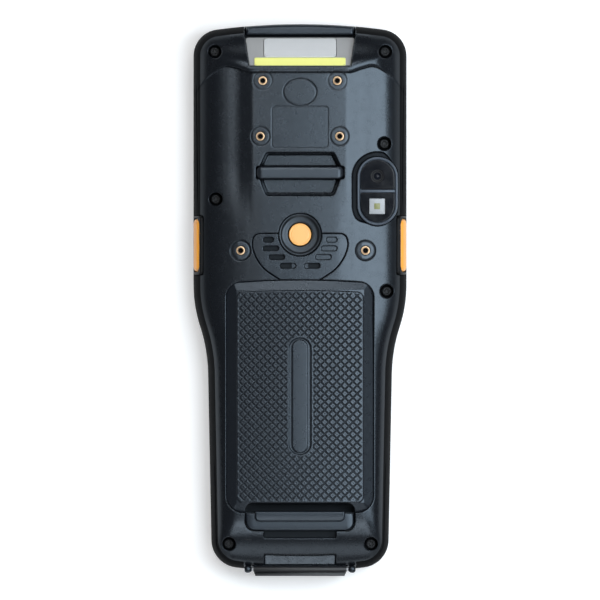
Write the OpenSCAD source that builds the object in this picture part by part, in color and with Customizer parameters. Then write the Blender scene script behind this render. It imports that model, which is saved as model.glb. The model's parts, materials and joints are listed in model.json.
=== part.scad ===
// Portable barcode terminal, lying on its screen side with its back up.
// +Y runs to the scanning head, +X to the right as the back is seen, +Z out of the back.
// The origin is on the ground, under the centre of the overall box.

/* [Body] */
// Overall length, from the head's top edge to the connector lid
body_l = 207.3; // [204:0.1:213]
// Width across the head
head_w = 80; // [79:0.5:85]
// Width of the grip just below the neck
grip_w = 69.4; // [68.6:0.2:73]
// How much narrower the grip is at its lower end
grip_taper = 2.8; // [0:0.2:3.4]
// Length of the slanted neck between head and grip
neck_l = 16.5; // [12:0.5:20]
// Height of the parting plane above the screen side
front_h = 14; // [13.6:0.1:14.6]
// Height of the flat of the back
back_z = 29; // [28.6:0.1:31]
// Rise of the head's ridge above the flat of the back
ridge_rise = 2.8; // [1.5:0.1:4]
// Wall of both housings
wall = 2; // [1.6:0.1:2.3]
// Corner radius of the head
head_r = 10; // [8:0.5:11]
// Corner radius of the grip's lower end
grip_r = 10.5; // [8:0.5:11]

/* [Scan window] */
// Width of the window's bezel at its outer edge
scan_w = 41.2; // [36:0.2:44]
// Length of the bezel along its slope
scan_l = 14.5; // [13:0.1:15]
// Slope of the window below the flat of the back, in degrees
scan_tilt = 43; // [40:1:46]
// Width of the window pane
scan_pane_w = 27.1; // [22:0.1:30]
// Length of the window pane along the slope
scan_pane_l = 9.4; // [8:0.1:9.8]
// Thickness of the bezel
scan_t = 1.8; // [1.4:0.1:2.2]

/* [Strap bar] */
// Length of the bar
bar_l = 32.8; // [28:0.2:34]
// Width of the bar
bar_w = 4.5; // [4:0.1:5]
// Thickness of the bar
bar_t = 3.4; // [3:0.1:4]
// Clear height under the bar
strap_gap = 4.6; // [4.4:0.1:5]
// Distance of the bar below the upper edge of its recess
bar_drop = 7.6; // [7.4:0.1:8.4]
// Length of the recess along the body
strap_recess_l = 16.2; // [15.8:0.1:18]

/* [Camera] */
// Width of the camera frame
cam_w = 15.3; // [14.6:0.1:15.6]
// Length of the camera frame
cam_l = 25.8; // [24:0.1:27]
// Height of the frame's rim
cam_z = 28.9; // [28:0.1:30]
// Wall of the frame
cam_wall = 1.05; // [0.9:0.05:1.2]
// Side of the square flash lamp
flash_side = 5.9; // [5:0.1:6.5]

/* [Centre button] */
// Radius of the button's cap
button_r = 4.2; // [3.8:0.1:4.6]
// Outer radius of the ring round it
button_ring_r = 7.8; // [7.2:0.1:8]
// Travel of the button
button_travel = 0.6; // [0.4:0.1:0.8]

/* [Side buttons] */
// Length of each side button
side_button_l = 20; // [16:0.5:24]
// Height of each side button
side_button_h = 6.8; // [6:0.1:7.2]
// Travel of each side button
side_travel = 0.8; // [0.5:0.1:1]

/* [Speaker panel] */
// Half the widest width of the panel
panel_half_w = 17.8; // [17:0.1:18.6]
// Thickness of the panel
panel_t = 1.2; // [1:0.1:1.4]
// Height of each slot
slot_h = 2.05; // [1.6:0.05:2.3]
// Distance from slot to slot
slot_pitch = 3.27; // [3:0.01:3.4]

/* [Battery cover] */
// Width of the cover
cover_w = 55.3; // [54:0.1:56]
// Distance of the cover's lower edge from the body's lower end
cover_end = 22.1; // [21.5:0.1:24]
// Wall of the cover
cover_t = 1.6; // [1.4:0.1:1.8]
// Width of the bevel round the pad
bevel_w = 3.7; // [3:0.1:4]
// Rise of the pad above the bevel
pad_rise = 0.35; // [0.2:0.05:0.5]
// Length of the groove in the middle of the pad
groove_l = 44.4; // [36:0.2:56]
// Width of that groove
groove_w = 8.9; // [7:0.1:11]
// Depth of that groove
groove_depth = 0.7; // [0.4:0.1:0.8]

/* [Battery] */
// Width of the battery pack
battery_w = 47; // [44:0.5:47.4]
// Distance of the battery pack's lower end from the cover's
battery_end = 8.7; // [8.4:0.1:12]
// Thickness of the battery pack
battery_t = 14.4; // [13.4:0.1:14.8]

/* [Latch] */
// Width of the latch plate
latch_w = 40.6; // [38:0.2:42]
// Length of the latch plate along its slide
latch_l = 6.7; // [6.2:0.1:7]
// Thickness of the latch plate
latch_t = 1.7; // [1.5:0.1:1.8]
// Travel of the latch
latch_travel = 2.5; // [2:0.1:2.6]
// Depth of the finger gap above the latch
finger_gap = 3.6; // [3.2:0.1:3.9]
// Width of the thumb ridge
thumb_w = 33.8; // [30:0.2:36]

/* [Connector lid] */
// Width of the lid at its upper edge
lid_w = 35; // [33:0.2:36.4]
// Thickness of the lid outside the body
lid_t = 1.75; // [1.6:0.05:1.9]
// Radius of the lid's hinge barrel
lid_barrel_r = 1.2; // [1.1:0.05:1.3]
// Radius of the lid's hinge pin
lid_pin_r = 0.6; // [0.5:0.05:0.7]
// Width of the connector's socket
socket_w = 15; // [12:0.5:16]
// Height of the connector's socket
socket_h = 4.6; // [4.4:0.1:5]

/* [Screws and inserts] */
// Radius of the screw recesses
screw_recess_r = 2.6; // [2.3:0.1:2.8]
// Radius of a screw's head
screw_head_r = 2; // [1.8:0.1:2.1]
// Radius of a screw's shank
screw_r = 1; // [0.9:0.1:1.1]
// Outer radius of the brass inserts
insert_r = 1.65; // [1.5:0.05:1.8]
// Radius of the inserts' thread
insert_bore_r = 1; // [0.8:0.05:1.1]
// Length of the inserts
insert_l = 4; // [3:0.1:4.2]
// Distance between the two upper inserts
upper_pitch = 28; // [26:0.1:29]
// Distance between the two middle inserts
middle_pitch = 29.8; // [28.4:0.1:31]
// Distance between the two lower inserts
lower_pitch = 46.9; // [45.6:0.1:48]

/* [Display] */
// Width of the display glass
glass_w = 66.4; // [62:0.2:68]
// Distance from the keypad's field to the display glass
glass_gap = 8; // [6:0.5:12]
// Thickness of the display glass
glass_t = 1.1; // [0.8:0.1:1.3]
// Thickness of the front wall
front_wall = 2.6; // [2.4:0.1:2.8]

/* [Keypad] */
// Columns of keys
key_columns = 4; // [2:2:4]
// Rows of keys
key_rows = 4; // [1:1:4]
// Width of a key
key_w = 11; // [9:0.5:12]
// Height of a key
key_h = 8.6; // [7:0.2:9.6]
// Distance between key columns
key_pitch_x = 13.6; // [13.4:0.1:14]
// Distance between key rows
key_pitch_y = 13.6; // [12.6:0.1:13.8]
// Travel of the keys
key_travel = 0.5; // [0.3:0.1:0.6]
// Width of the scan key
scan_key_w = 26; // [20:1:32]

/* [Clearances] */
// Gap between seated pieces and their recesses
fit = 0.12; // [0.08:0.01:0.2]
// Gap round moving pieces
move_gap = 0.2; // [0.15:0.01:0.3]
// Running clearance of the hinge pin
pin_gap = 0.05; // [0.03:0.01:0.08]

/* [Hidden] */
$fn = 48;
far = 250;
eps = 0.01;

// Body outline
top_y = body_l / 2;
low_y = -body_l / 2 + lid_t;
hw = head_w / 2;
gw = grip_w / 2;
ew = gw - grip_taper / 2;
top_arch_r = 236;
low_arch_r = 200;
head_cx = hw - head_r;
head_cy = top_y - top_arch_r + sqrt(pow(top_arch_r - head_r, 2) - pow(head_cx, 2));
grip_cx = ew - grip_r;
grip_cy = low_y + low_arch_r - sqrt(pow(low_arch_r - grip_r, 2) - pow(grip_cx, 2));
neck_y = top_y - 105.85;

// Body section: the front edge's rounding, the side's roll and the shoulder's slope
edge_w = 2.5;
edge_h = 4;
roll_w = 9;
roll_z = back_z - 1.8;
shoulder_d = 3.5;
shoulder_z = back_z - 4.6;
flat_d = 20.8;
ridge_z = back_z + ridge_rise;
arc_step = 15;

// Head end: its slope up to the ridge and the ridge's place
head_slope_d = 4.2;
head_slope_z = back_z - 5.2;
ridge_y = top_y - 17.7;
ridge_flat = 1.5;

// Lower end: where the back starts to fall
fall_d = 12.5;
fall_z = back_z - 3;
low_fall_d = 4;
low_fall_z = back_z - 8.5;

// Scan window: the upper edge of its slope, and the lip in front of it
scan_y = ridge_y + 2.2;
scan_z = ridge_z - 0.6;
scan_sink = 0.9;
scan_taper = 3.2;
scan_seat_t = 1.5;
scan_pane_y = scan_l - 0.5 - scan_pane_l;
pane_t = 1;
strip_w = scan_w - 6.8;
strip_l = 3.3;
strip_t = 0.3;
lip_w = scan_w - 0.4;
lip_y = scan_y + (scan_l + 2 * fit) * cos(scan_tilt) + 0.4;
lip_z = back_z - 8.2;
engine_w = 22;
engine_l = 10;
engine_t = 9;

// Strap recess, below the service plate
recess_top = top_y - 48.2;
recess_low = recess_top - strap_recess_l;
bar_y = recess_top - bar_drop;
bar_top = back_z + 0.9;
bar_under = bar_top - bar_t;
recess_floor = bar_under - strap_gap;
recess_half = bar_l / 2 - 0.8;
recess_end_half = recess_half - 3.5;
bar_round = 1.2;

// Service plate and contact cap above the recess
plate_w = 21;
plate_l = 15.4;
plate_y = recess_top + 1.8;
plate_t = 1;
plate_r = 1.1;
cap_rx = 6.15;
cap_ry = 5.05;
cap_gap = 0.6;
cap_y = plate_y + plate_l + cap_ry + 0.35;

// Camera
cam_x = hw - 10.9;
cam_y = top_y - 62.75;
cam_floor = front_h + 5;
cam_floor_t = 1.2;
cam_pane_t = 0.8;
cam_pane_z = cam_z - 1.5;
cam_bar = 1.1;
cam_ledge = 0.6;
cam_boss = 1.5;
lens_r = 3.3;
lens_y = cam_y + 5.6;
flash_y = cam_y - 5.7;

// Centre button
button_y = top_y - 79.05;
ring_z = back_z + 0.3;
ring_floor = back_z - 1.1;
ring_low = back_z - 3;
ring_bore_r = button_r + move_gap + 0.1;
button_z = back_z - 0.3;
button_flange = 1.2;
button_flange_t = 0.8;
cup_wall = 0.9;
cup_floor = ring_low - button_flange_t - button_travel - 2.2;
cup_floor_t = 1.4;
switch_side = 5;

// Side buttons
side_y = button_y - 4.05;
side_low = front_h + 1.3;
side_proud = 0.3;
side_depth = 3.4;
side_frame_w = 1.1;
side_flange_w = 0.7;
side_flange_t = 1;
side_frame_x = hw - side_depth;
side_flange_x = side_frame_x - side_flange_t - 0.05;
side_switch_x = side_flange_x - side_travel - 0.05;
side_switch_t = 2.4;
side_rib_t = 1.6;

// Battery cover
cover_top = button_y - 17.1;
cover_low = low_y + cover_end;
cover_l = cover_top - cover_low;
cover_y = (cover_top + cover_low) / 2;
cover_z = back_z + 0.2;
seat_z = back_z - 4.4;
seat_t = 1.6;
cover_edge_z = back_z - 2.6;
cover_end_z = back_z - 0.7;
cover_arch_r = 320;
cover_r_top = 5.3;
cover_r_low = 6.4;
cover_rim = 2.6;
island_rise = 0.35;
island_w = groove_w - 2.7;
island_l = groove_l - 1.6;
tab_w = 5;
tab_l = 1.6;
tab_x = cover_w / 2 - 5.5;
tab_z = seat_z + 0.5;
tab_t = 1;
notch_half = latch_w / 2 + 0.25;
notch_r = 2.8;
pad_end = cover_low + finger_gap;
pad_r = 3;

// Battery bay
bay_floor = front_h - 2;
bay_floor_t = 2.4;
bay_gap = 0.4;
bay_top = cover_top - 5.3;
bay_half = battery_w / 2 + bay_gap;
contact_t = 1.6;
contact_w = 12;
contact_h = 7;
spring_w = 1;
spring_h = 3;
battery_top = bay_top - contact_t - bay_gap / 2;
battery_low = cover_low + battery_end;
battery_l = battery_top - battery_low;
bay_low = battery_low - bay_gap;
bay_wall = 1.6;
tray_w = 16;
tray_l = 13;
tray_t = 1.2;

// Latch
latch_top = cover_low - 0.15;
latch_low = latch_top - latch_l;
latch_floor = back_z - 5.8;
latch_floor_t = 1.6;
latch_r = 3.4;
thumb_z = back_z - 1.9;
thumb_l = 3.9;
thumb_up = 0.6;
slot_half = latch_w / 2 - 6.7;
pit_floor = back_z - 9;

// Connector lid
lid_y = low_y + 0.8;
lid_z = front_h + 3.6;
lid_half = lid_w / 2;
lid_low = 3.6;
lid_lip_t = 0.7;
lid_lip_z = lid_z + 0.6;
lid_web_z = lid_z - 0.9;
lid_web_low = lid_z - 2.4;
lid_taper = 0.8;
ear_r = 1.4;
ear_w = 3;
ear_gap = 0.4;
lid_swing = 0.5;
ear_root = 3.4;
dock_wall = 0.8;
socket_z = 5.4;
socket_depth = 5;
dock_nose = 0.3;
dock_l = socket_depth + 2;

// Cradle recess on the falling lower end
cradle_w = 27;
cradle_top = low_y + 6.8;
cradle_low = low_y + 1.2;
cradle_depth = 0.8;

// Screws: places as seen from the back
screw_in = 8;
screw_places = [
    [-hw + screw_in, top_y - 10.4],
    [hw - screw_in, top_y - 10.4],
    [hw - screw_in - 0.3, cam_y + cam_l / 2 + 4.9],
    [-hw + screw_in + 0.4, side_y + 17.35],
    [hw - screw_in + 0.6, cover_top - 4.2],
    [-ew + 6.6, latch_low - 4.9],
    [ew - 6.6, latch_low - 4.9]
];
screw_seat = front_h + 2.5;
screw_head_t = 1.6;
screw_l = 10;
screw_boss = 1.1;
front_boss_r = 3.2;

// Inserts: [x, y, height of the pad round it]
lower_insert_x = 1.15;
lower_pad_z = back_z - 1.4;
insert_places = [
    [-upper_pitch / 2, top_y - 21.25, back_z],
    [upper_pitch / 2, top_y - 21.25, back_z],
    [-middle_pitch / 2, top_y - 42.15, back_z],
    [middle_pitch / 2, top_y - 42.15, back_z],
    [lower_insert_x - lower_pitch / 2, top_y - 85.05, lower_pad_z],
    [lower_insert_x + lower_pitch / 2, top_y - 85.05, lower_pad_z]
];
insert_sink = 0.2;
insert_boss = 1.5;
insert_floor_t = 1.2;
halo_r = 3.6;
halo_w = 0.3;
halo_depth = 0.3;

// Speaker panel
panel_top = button_y + 0.3;
panel_low = cover_top + 0.3;
panel_h = panel_top - panel_low;
panel_shape = [[0.4, 0], [0.74, 0.246], [0.92, 0.485], [1, 0.737], [1, 0.842], [0.85, 1]];
slot_in = [9.8, 7.9, 5.7, 1.5];
slot_out = [14, 14, 11.8, 7.6];
slot_top = button_y - 1.95;
blind_depth = 0.5;
ring_margin = 0.5;
speaker_w = 10;
speaker_l = 7.6;
speaker_x = -11.9;
speaker_y = panel_low + 2.5;
speaker_t = 4;

// Display, keypad and boards
key_margin = 4.5;
key_rows_gap = 5;
scan_key_h = 13;
keypad_end = 17.05;
keypad_low = low_y + keypad_end;
last_row_y = keypad_low + key_margin + key_h / 2;
first_row_y = last_row_y + (key_rows - 1) * key_pitch_y;
scan_key_y = first_row_y + key_h / 2 + key_rows_gap + scan_key_h / 2;
pad_top = scan_key_y + scan_key_h / 2 + key_margin;
glass_z = 0.4;
glass_r = 5;
glass_top = top_y - 6.1;
glass_low = pad_top + glass_gap;
glass_l = glass_top - glass_low;
glass_y = (glass_top + glass_low) / 2;
module_w = glass_w - 9.6;
module_l = glass_l - 6;
module_t = 3.4;
standoff_r = 2;
board_z = 9;
board_t = 1.2;
board_w = module_w - 2.8;
board_low = max(bay_top + 9, glass_low + 11.65);
board_post = 4;
board_top = glass_top - 4;
can_t = 2.2;
can_x = [-9, 14];
can_w = [22, 16];
can_l = [22, 16];
can_y = cam_y + 16;
pad_w = 58;
keypad_sink = 1.4;
key_top_z = 0.35;
key_gap = 0.25;
key_r = 2;
key_flange = 0.8;
key_flange_t = 0.7;
key_rest = 0.05;
keypad_y = (pad_top + keypad_low) / 2;
keypad_l = pad_top - keypad_low;
mat_t = 0.8;
mat_w = pad_w - 1;
mat_l = keypad_l - 1;
mat_z = front_wall + key_rest + key_flange_t + key_travel + 0.1;
mat_rim = 1.2;
key_board_t = 1;
seal_t = 0.8;
seal_in = 0.7;
seal_w = 0.8;
motor_r = 4.5;
motor_t = 3;
ear_slot_w = 14;
ear_slot_l = 1.4;
ear_slot_y = glass_top + 2;
ear_block_l = 2;
ear_block_t = 2.4;
ear_block_in = 0.6;

function key_name(row, column) = str("key_", row, "_", column);

// ---- Shared shapes ----

// Rectangle with round corners, centred
module round_rect(w, h, r) {
    square([w, h - 2 * r], center = true);
    square([w - 2 * r, h], center = true);
    for (x = [-1, 1], y = [-1, 1])
        translate([x * (w / 2 - r), y * (h / 2 - r)]) circle(r);
}

// Slot with round ends along Y, centred
module stadium(w, l) {
    square([w, l - w], center = true);
    for (y = [-1, 1]) translate([0, y * (l - w) / 2]) circle(w / 2);
}

// Copies a right-hand shape to the left
module both_sides() {
    children();
    mirror([1, 0, 0]) children();
}

// Plate between two heights
module slab(z0, z1) {
    translate([0, 0, z0]) linear_extrude(z1 - z0) children();
}

// Box given by its middle in X, its range in Y and its range in Z
module block(w, y0, y1, z0, z1) {
    translate([-w / 2, y0, z0]) cube([w, y1 - y0, z1 - z0]);
}

// ---- Body form ----

// Points of an outline, each as x, y and the direction in which it is drawn in
function arc_points(cx, cy, r, a0, a1, n) =
    [for (k = [0 : n]) let (a = a0 + (a1 - a0) * k / n) [cx + r * cos(a), cy + r * sin(a), cos(a), sin(a)]];

function inner_points(v) = [for (k = [1 : len(v) - 2]) v[k]];

function mirrored(v) = [for (k = [len(v) - 1 : -1 : 0]) [-v[k][0], v[k][1], -v[k][2], v[k][3]]];

// A corner between two straight sides, given by the angles of their normals
function mitre(x, y, a, b) =
    let (s = 1 + cos(a - b)) [x, y, (cos(a) + cos(b)) / s, (sin(a) + sin(b)) / s];

neck_turn = atan2(gw - hw, neck_l);
head_turn = atan2(head_cy - top_y + top_arch_r, head_cx);
grip_turn = atan2(grip_cy - low_y - low_arch_r, grip_cx);
right_side = concat(
    arc_points(grip_cx, grip_cy, grip_r, grip_turn, 0, 6),
    [mitre(gw, neck_y - neck_l, neck_turn, 0), mitre(hw, neck_y, neck_turn, 0)],
    arc_points(head_cx, head_cy, head_r, 0, head_turn, 6)
);
outline = concat(
    right_side,
    inner_points(arc_points(0, top_y - top_arch_r, top_arch_r, head_turn, 180 - head_turn, 8)),
    mirrored(right_side),
    inner_points(arc_points(0, low_y + low_arch_r, low_arch_r, -180 - grip_turn, grip_turn, 5))
);

// Plan of the body, drawn in by an inset
module plan(i) {
    polygon([for (p = outline) [p[0] - i * p[2], p[1] - i * p[3]]]);
}

// Solid through rings of the outline, each given as [inset, height]
module ring_solid(rings) {
    n = len(outline);
    m = len(rings);
    polyhedron(
        points = [for (r = rings) for (p = outline) [p[0] - r[0] * p[2], p[1] - r[0] * p[3], r[1]]],
        faces = concat(
            [[for (k = [0 : n - 1]) k]],
            [for (j = [0 : m - 2]) for (k = [0 : n - 1])
                [j * n + k, (j + 1) * n + k, (j + 1) * n + (k + 1) % n, j * n + (k + 1) % n]],
            [[for (k = [n - 1 : -1 : 0]) (m - 1) * n + k]]
        )
    );
}

// Heights of the back across the body and along it, drawn in by an inset
module across(i) {
    rotate([90, 0, 0]) linear_extrude(2 * body_l, center = true) polygon([
        [-hw - 1, i], [hw + 1, i], [hw + 1, shoulder_z - i - 1.2], [hw - shoulder_d, shoulder_z - i],
        [hw - flat_d, back_z - i], [-hw + flat_d, back_z - i],
        [-hw + shoulder_d, shoulder_z - i], [-hw - 1, shoulder_z - i - 1.2]
    ]);
}

module along(i, peak) {
    rotate([90, 0, 90]) linear_extrude(2 * head_w, center = true) polygon([
        [top_y + 1, -1], [top_y + 1, head_slope_z - 4 - i], [top_y - head_slope_d, head_slope_z - i],
        [ridge_y + ridge_flat, peak - i], [ridge_y - 8, peak - i], [low_y + fall_d + 30, back_z - i],
        [low_y + fall_d, fall_z - i], [low_y + low_fall_d, low_fall_z - i],
        [low_y - 1, front_h + 1 - i], [low_y - 1, -1]
    ]);
}

// Body form: everything inside the skin that lies an inset below the outer surface
module form(i) {
    width = roll_w - i;
    intersection() {
        ring_solid(concat(
            [[i + 1.2 * edge_w, i - 0.4 * edge_h * (1 - sin(60))]],
            [for (a = [60 : -30 : 0]) [i + edge_w * (1 - cos(a)), i + edge_h * (1 - sin(a))]],
            [for (a = [0 : arc_step : 90]) [i + width * (1 - cos(a)), front_h + (roll_z - front_h - i) * sin(a)]],
            [[i + width, far]]
        ));
        across(i);
        along(i, back_z);
    }
}

// Raised block across the head, behind the scan window
module head_block() {
    intersection() {
        ring_solid(concat(
            [[0, front_h + 1]],
            [for (a = [0 : arc_step : 75]) [0.05 + roll_w * (1 - cos(a)), front_h + 2 + (roll_z - front_h - 1) * sin(a)]],
            [[roll_w, far]]
        ));
        along(0, ridge_z);
        rotate([90, 0, 0]) linear_extrude(2 * body_l, center = true) polygon([
            [-hw - 1, 0], [hw + 1, 0], [hw + 1, shoulder_z], [hw - flat_d - 2, ridge_z],
            [-hw + flat_d + 2, ridge_z], [-hw - 1, shoulder_z]
        ]);
        slab(front_h, far) polygon([
            [-hw - 1, ridge_y - 6], [-hw + 2.6, ridge_y - 5.6], [-hw + 12.5, ridge_y + 1.8],
            [-hw + 20, ridge_y], [hw - 20, ridge_y], [hw - 12.5, ridge_y + 1.8],
            [hw - 2.6, ridge_y - 5.6], [hw + 1, ridge_y - 6], [hw + 1, top_y + 1], [-hw - 1, top_y + 1]
        ]);
    }
}

// ---- Places and outlines ----

// Frame of the scan window's slope: X across, Y down the slope, Z out of the window
module on_slope() {
    translate([0, scan_y, scan_z]) rotate([-scan_tilt, 0, 0]) children();
}

module scan_plan(gap) {
    top = (scan_w - scan_taper) / 2 + gap;
    low = scan_w / 2 + gap;
    polygon([[-top, -gap], [top, -gap], [low, scan_l + gap], [-low, scan_l + gap]]);
}

module scan_pane_plan(gap) {
    translate([0, scan_pane_y + scan_pane_l / 2]) round_rect(scan_pane_w + 2 * gap, scan_pane_l + 2 * gap, 1);
}

module cover_plan(gap) {
    half = cover_w / 2 + gap;
    intersection() {
        union() {
            translate([-half, cover_low - gap + cover_r_low])
                square([2 * half, cover_l + 2 * gap - cover_r_low - cover_r_top]);
            translate([-half + cover_r_low, cover_low - gap])
                square([2 * (half - cover_r_low), 2 * cover_r_low]);
            translate([-half + cover_r_top, cover_top + gap - 2 * cover_r_top])
                square([2 * (half - cover_r_top), 2 * cover_r_top]);
            both_sides() {
                translate([half - cover_r_low, cover_low - gap + cover_r_low]) circle(cover_r_low);
                translate([half - cover_r_top, cover_top + gap - cover_r_top]) circle(cover_r_top);
            }
        }
        translate([0, cover_top - cover_arch_r]) circle(cover_arch_r + gap);
    }
}

// Opening for a finger at the cover's lower edge, which the latch lies in
module notch_plan(low, gap) {
    half = notch_half + gap;
    translate([-half, low]) square([2 * half, pad_end - notch_r - low]);
    translate([0, pad_end - notch_r + gap]) round_rect(2 * half, 2 * notch_r, notch_r - eps);
}

// Hexagonal recess under the strap bar, grown by a margin
module strap_plan(grow) {
    side = recess_half + grow;
    end = recess_end_half + grow;
    polygon([
        [end, recess_top + grow], [side, bar_y + bar_w / 2], [side, bar_y - bar_w / 2], [end, recess_low - grow],
        [-end, recess_low - grow], [-side, bar_y - bar_w / 2], [-side, bar_y + bar_w / 2], [-end, recess_top + grow]
    ]);
}

module cap_plan(gap) {
    translate([0, cap_y])
        polygon([for (a = [0 : 10 : 350]) [(cap_rx + gap) * cos(a), (cap_ry + gap) * sin(a)]]);
}

module plate_plan(gap) {
    difference() {
        translate([0, plate_y + plate_l / 2])
            round_rect(plate_w + 2 * gap, plate_l + 2 * gap, plate_r + gap);
        cap_plan(cap_gap - gap);
    }
}

// Wing-shaped panel below the centre button
module panel_plan(gap) {
    wing = [for (p = panel_shape)
        [p[0] * (panel_half_w + gap), panel_low - gap + p[1] * (panel_h + 2 * gap)]];
    difference() {
        polygon(concat(wing, [for (k = [len(wing) - 1 : -1 : 0]) [-wing[k][0], wing[k][1]]]));
        translate([0, button_y]) circle(button_ring_r + ring_margin - gap);
    }
}

module sound_slot(row) {
    translate([(slot_in[row] + slot_out[row]) / 2, slot_top - row * slot_pitch])
        rotate(90) stadium(slot_h, slot_out[row] - slot_in[row]);
}

module camera_plan(gap) {
    translate([cam_x, cam_y]) stadium(cam_w + 2 * gap, cam_l + 2 * gap);
}

module at_screws() {
    for (p = screw_places) translate([p[0], p[1], 0]) children();
}

module at_inserts() {
    for (p = insert_places) translate(p) children();
}

module key_plan(w, h, gap) {
    round_rect(w + 2 * gap, h + 2 * gap, key_r + gap);
}

module at_keys() {
    for (row = [1 : key_rows], column = [1 : key_columns]) at_key(row, column) children();
}

module at_key(row, column) {
    translate([(column - (key_columns + 1) / 2) * key_pitch_x, first_row_y - (row - 1) * key_pitch_y, 0])
        children();
}

// X of the body's right side at a height above the parting plane
function side_x(z) = hw - roll_w * (1 - sqrt(1 - pow((z - front_h) / (roll_z - front_h), 2)));

// Bar along the right side whose outer face follows the body's side
module side_bar(l, low, high, x0, proud) {
    steps = 6;
    translate([0, side_y, 0]) rotate([90, 0, 0]) linear_extrude(l, center = true)
        polygon(concat(
            [[x0, low]],
            [for (k = [0 : steps]) let (z = low + (high - low) * k / steps) [min(hw, side_x(z) + proud), z]],
            [[x0, high]]
        ));
}

// ---- Housings ----

module rear_housing() {
    color("#2c2f35") difference() {
        union() {
            difference() {
                union() {
                    intersection() {
                        form(0);
                        block(2 * far, -body_l, body_l, front_h, far);
                    }
                    head_block();
                }
                form(wall);
            }
            intersection() {
                rear_frames();
                union() {
                    form(0);
                    head_block();
                    block(2 * (bay_half + bay_wall), bay_low - bay_wall, bay_top + bay_wall, 0, front_h + 1);
                }
            }
            insert_pads();
            both_sides() lid_ear();
        }
        scan_cut();
        strap_cut();
        camera_cut();
        button_cut();
        panel_cut();
        cover_cut();
        latch_cut();
        lid_cut();
        both_sides() side_cut();
        screw_cut();
        insert_cut();
        plate_cut();
        cradle_cut();
    }
}

// Bosses, seats and walls inside the rear housing
module rear_frames() {
    at_screws() slab(front_h, far) circle(screw_recess_r + screw_boss);
    for (p = insert_places)
        translate([p[0], p[1], p[2] - insert_sink - insert_l - insert_floor_t])
            cylinder(far, r = insert_r + insert_boss);
    on_slope() slab(-scan_sink - scan_t - scan_seat_t, far) scan_plan(scan_seat_t);
    slab(recess_floor - wall + 0.4, far) strap_plan(wall);
    slab(cam_floor, far) camera_plan(cam_boss);
    translate([0, button_y]) slab(cup_floor - cup_floor_t, far) circle(button_ring_r + cup_wall);
    slab(seat_z - seat_t, far) cover_plan(cover_rim);
    slab(bay_floor - bay_floor_t, far) translate([-bay_half - bay_wall, bay_low - bay_wall])
        square([2 * (bay_half + bay_wall), bay_top - bay_low + 2 * bay_wall]);
    block(2 * notch_half + 4, latch_low - latch_travel - 3, latch_top + 1, latch_floor - latch_floor_t, far);
    block(2 * notch_half + 4, latch_top - 1, pad_end + 2, pit_floor - wall, far);
    both_sides() translate([side_switch_x - side_switch_t - side_rib_t, side_y - switch_side, front_h])
        cube([side_rib_t, 2 * switch_side, far]);
}

module insert_pads() {
    for (p = insert_places) if (p[2] < back_z)
        translate([p[0], p[1], p[2] - 3]) cylinder(3, r = halo_r);
}

module lid_ear() {
    x = lid_half + ear_gap;
    translate([x, lid_y, lid_z]) rotate([0, 90, 0]) cylinder(ear_w, r = ear_r);
    translate([x, lid_y, lid_z - ear_r]) cube([ear_w, ear_root, ear_r]);
}

module scan_cut() {
    on_slope() {
        slab(-scan_sink - scan_t, far) scan_plan(fit);
        slab(-scan_sink - scan_t - 2 * scan_seat_t, 0) scan_pane_plan(0.6);
    }
    block(lip_w + 2 * fit, lip_y - fit, far, front_h - 1, far);
}

module strap_cut() {
    slab(recess_floor, far) strap_plan(0);
    block(bar_l + 2 * fit, bar_y - bar_w / 2 - fit, bar_y + bar_w / 2 + fit, bar_under - fit, far);
}

module camera_cut() {
    slab(front_h, far) camera_plan(fit);
    slab(back_z - 2.2, far) translate([-0.9, 0.4]) camera_plan(1.1);
}

module button_cut() {
    translate([0, button_y]) {
        slab(ring_low, far) circle(button_ring_r + fit);
        slab(cup_floor, far) circle(button_ring_r - 1.2);
    }
}

module panel_cut() {
    slab(back_z - panel_t, far) panel_plan(fit);
    translate([speaker_x - speaker_w / 2 + 1, speaker_y + 1, front_h])
        cube([speaker_w - 2, speaker_l - 2, far]);
}

module cover_cut() {
    slab(seat_z, far) cover_plan(move_gap);
    block(2 * bay_half, bay_low, bay_top, bay_floor, far);
    both_sides() translate([tab_x - tab_w / 2 - move_gap, cover_top - cover_rim, seat_z])
        cube([tab_w + 2 * move_gap, cover_rim + tab_l + move_gap, tab_z + tab_t + move_gap - seat_z]);
    block(tray_w + 2 * fit, cover_y - tray_l / 2 - fit, cover_y + tray_l / 2 + fit, bay_floor - tray_t - fit, far);
}

module latch_cut() {
    travel = latch_travel + move_gap;
    intersection() {
        slab(latch_floor, far) notch_plan(latch_low - move_gap, 0);
        translate([0, latch_low - move_gap + far / 2])
            slab(0, far) round_rect(2 * notch_half, far, latch_r);
    }
    block(latch_w + 2 * move_gap, latch_low - travel, latch_low + latch_r, latch_floor, latch_floor + latch_t + 2 * move_gap);
    block(2 * slot_half, latch_low - travel, latch_low + 1, latch_floor, far);
    block(2 * notch_half, latch_top + 0.3, pad_end - 0.4, pit_floor, far);
}

module lid_cut() {
    w = 2 * (lid_half + ear_gap);
    block(w, low_y - 2, lid_y + 0.5, lid_web_low - 0.2, far);
    block(w, low_y - 2, lid_y + lid_barrel_r + lid_swing, lid_z, far);
    translate([-w / 2, lid_y, lid_z]) rotate([0, 90, 0]) cylinder(w, r = lid_barrel_r + move_gap);
    translate([-far / 2, lid_y, lid_z]) rotate([0, 90, 0]) cylinder(far, r = lid_pin_r);
}

module side_cut() {
    l = side_button_l + 2 * side_frame_w + 2 * fit;
    translate([side_frame_x - fit, side_y - l / 2, side_low - side_frame_w - fit])
        cube([far, l, side_button_h + 2 * side_frame_w + 2 * fit]);
    translate([
        side_flange_x - side_travel - move_gap, side_y - side_button_l / 2 - move_gap,
        side_low - side_flange_w - move_gap
    ]) cube([
        side_flange_t + side_travel + 3 * move_gap, side_button_l + 2 * move_gap,
        side_button_h + 2 * side_flange_w + 2 * move_gap
    ]);
}

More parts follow.
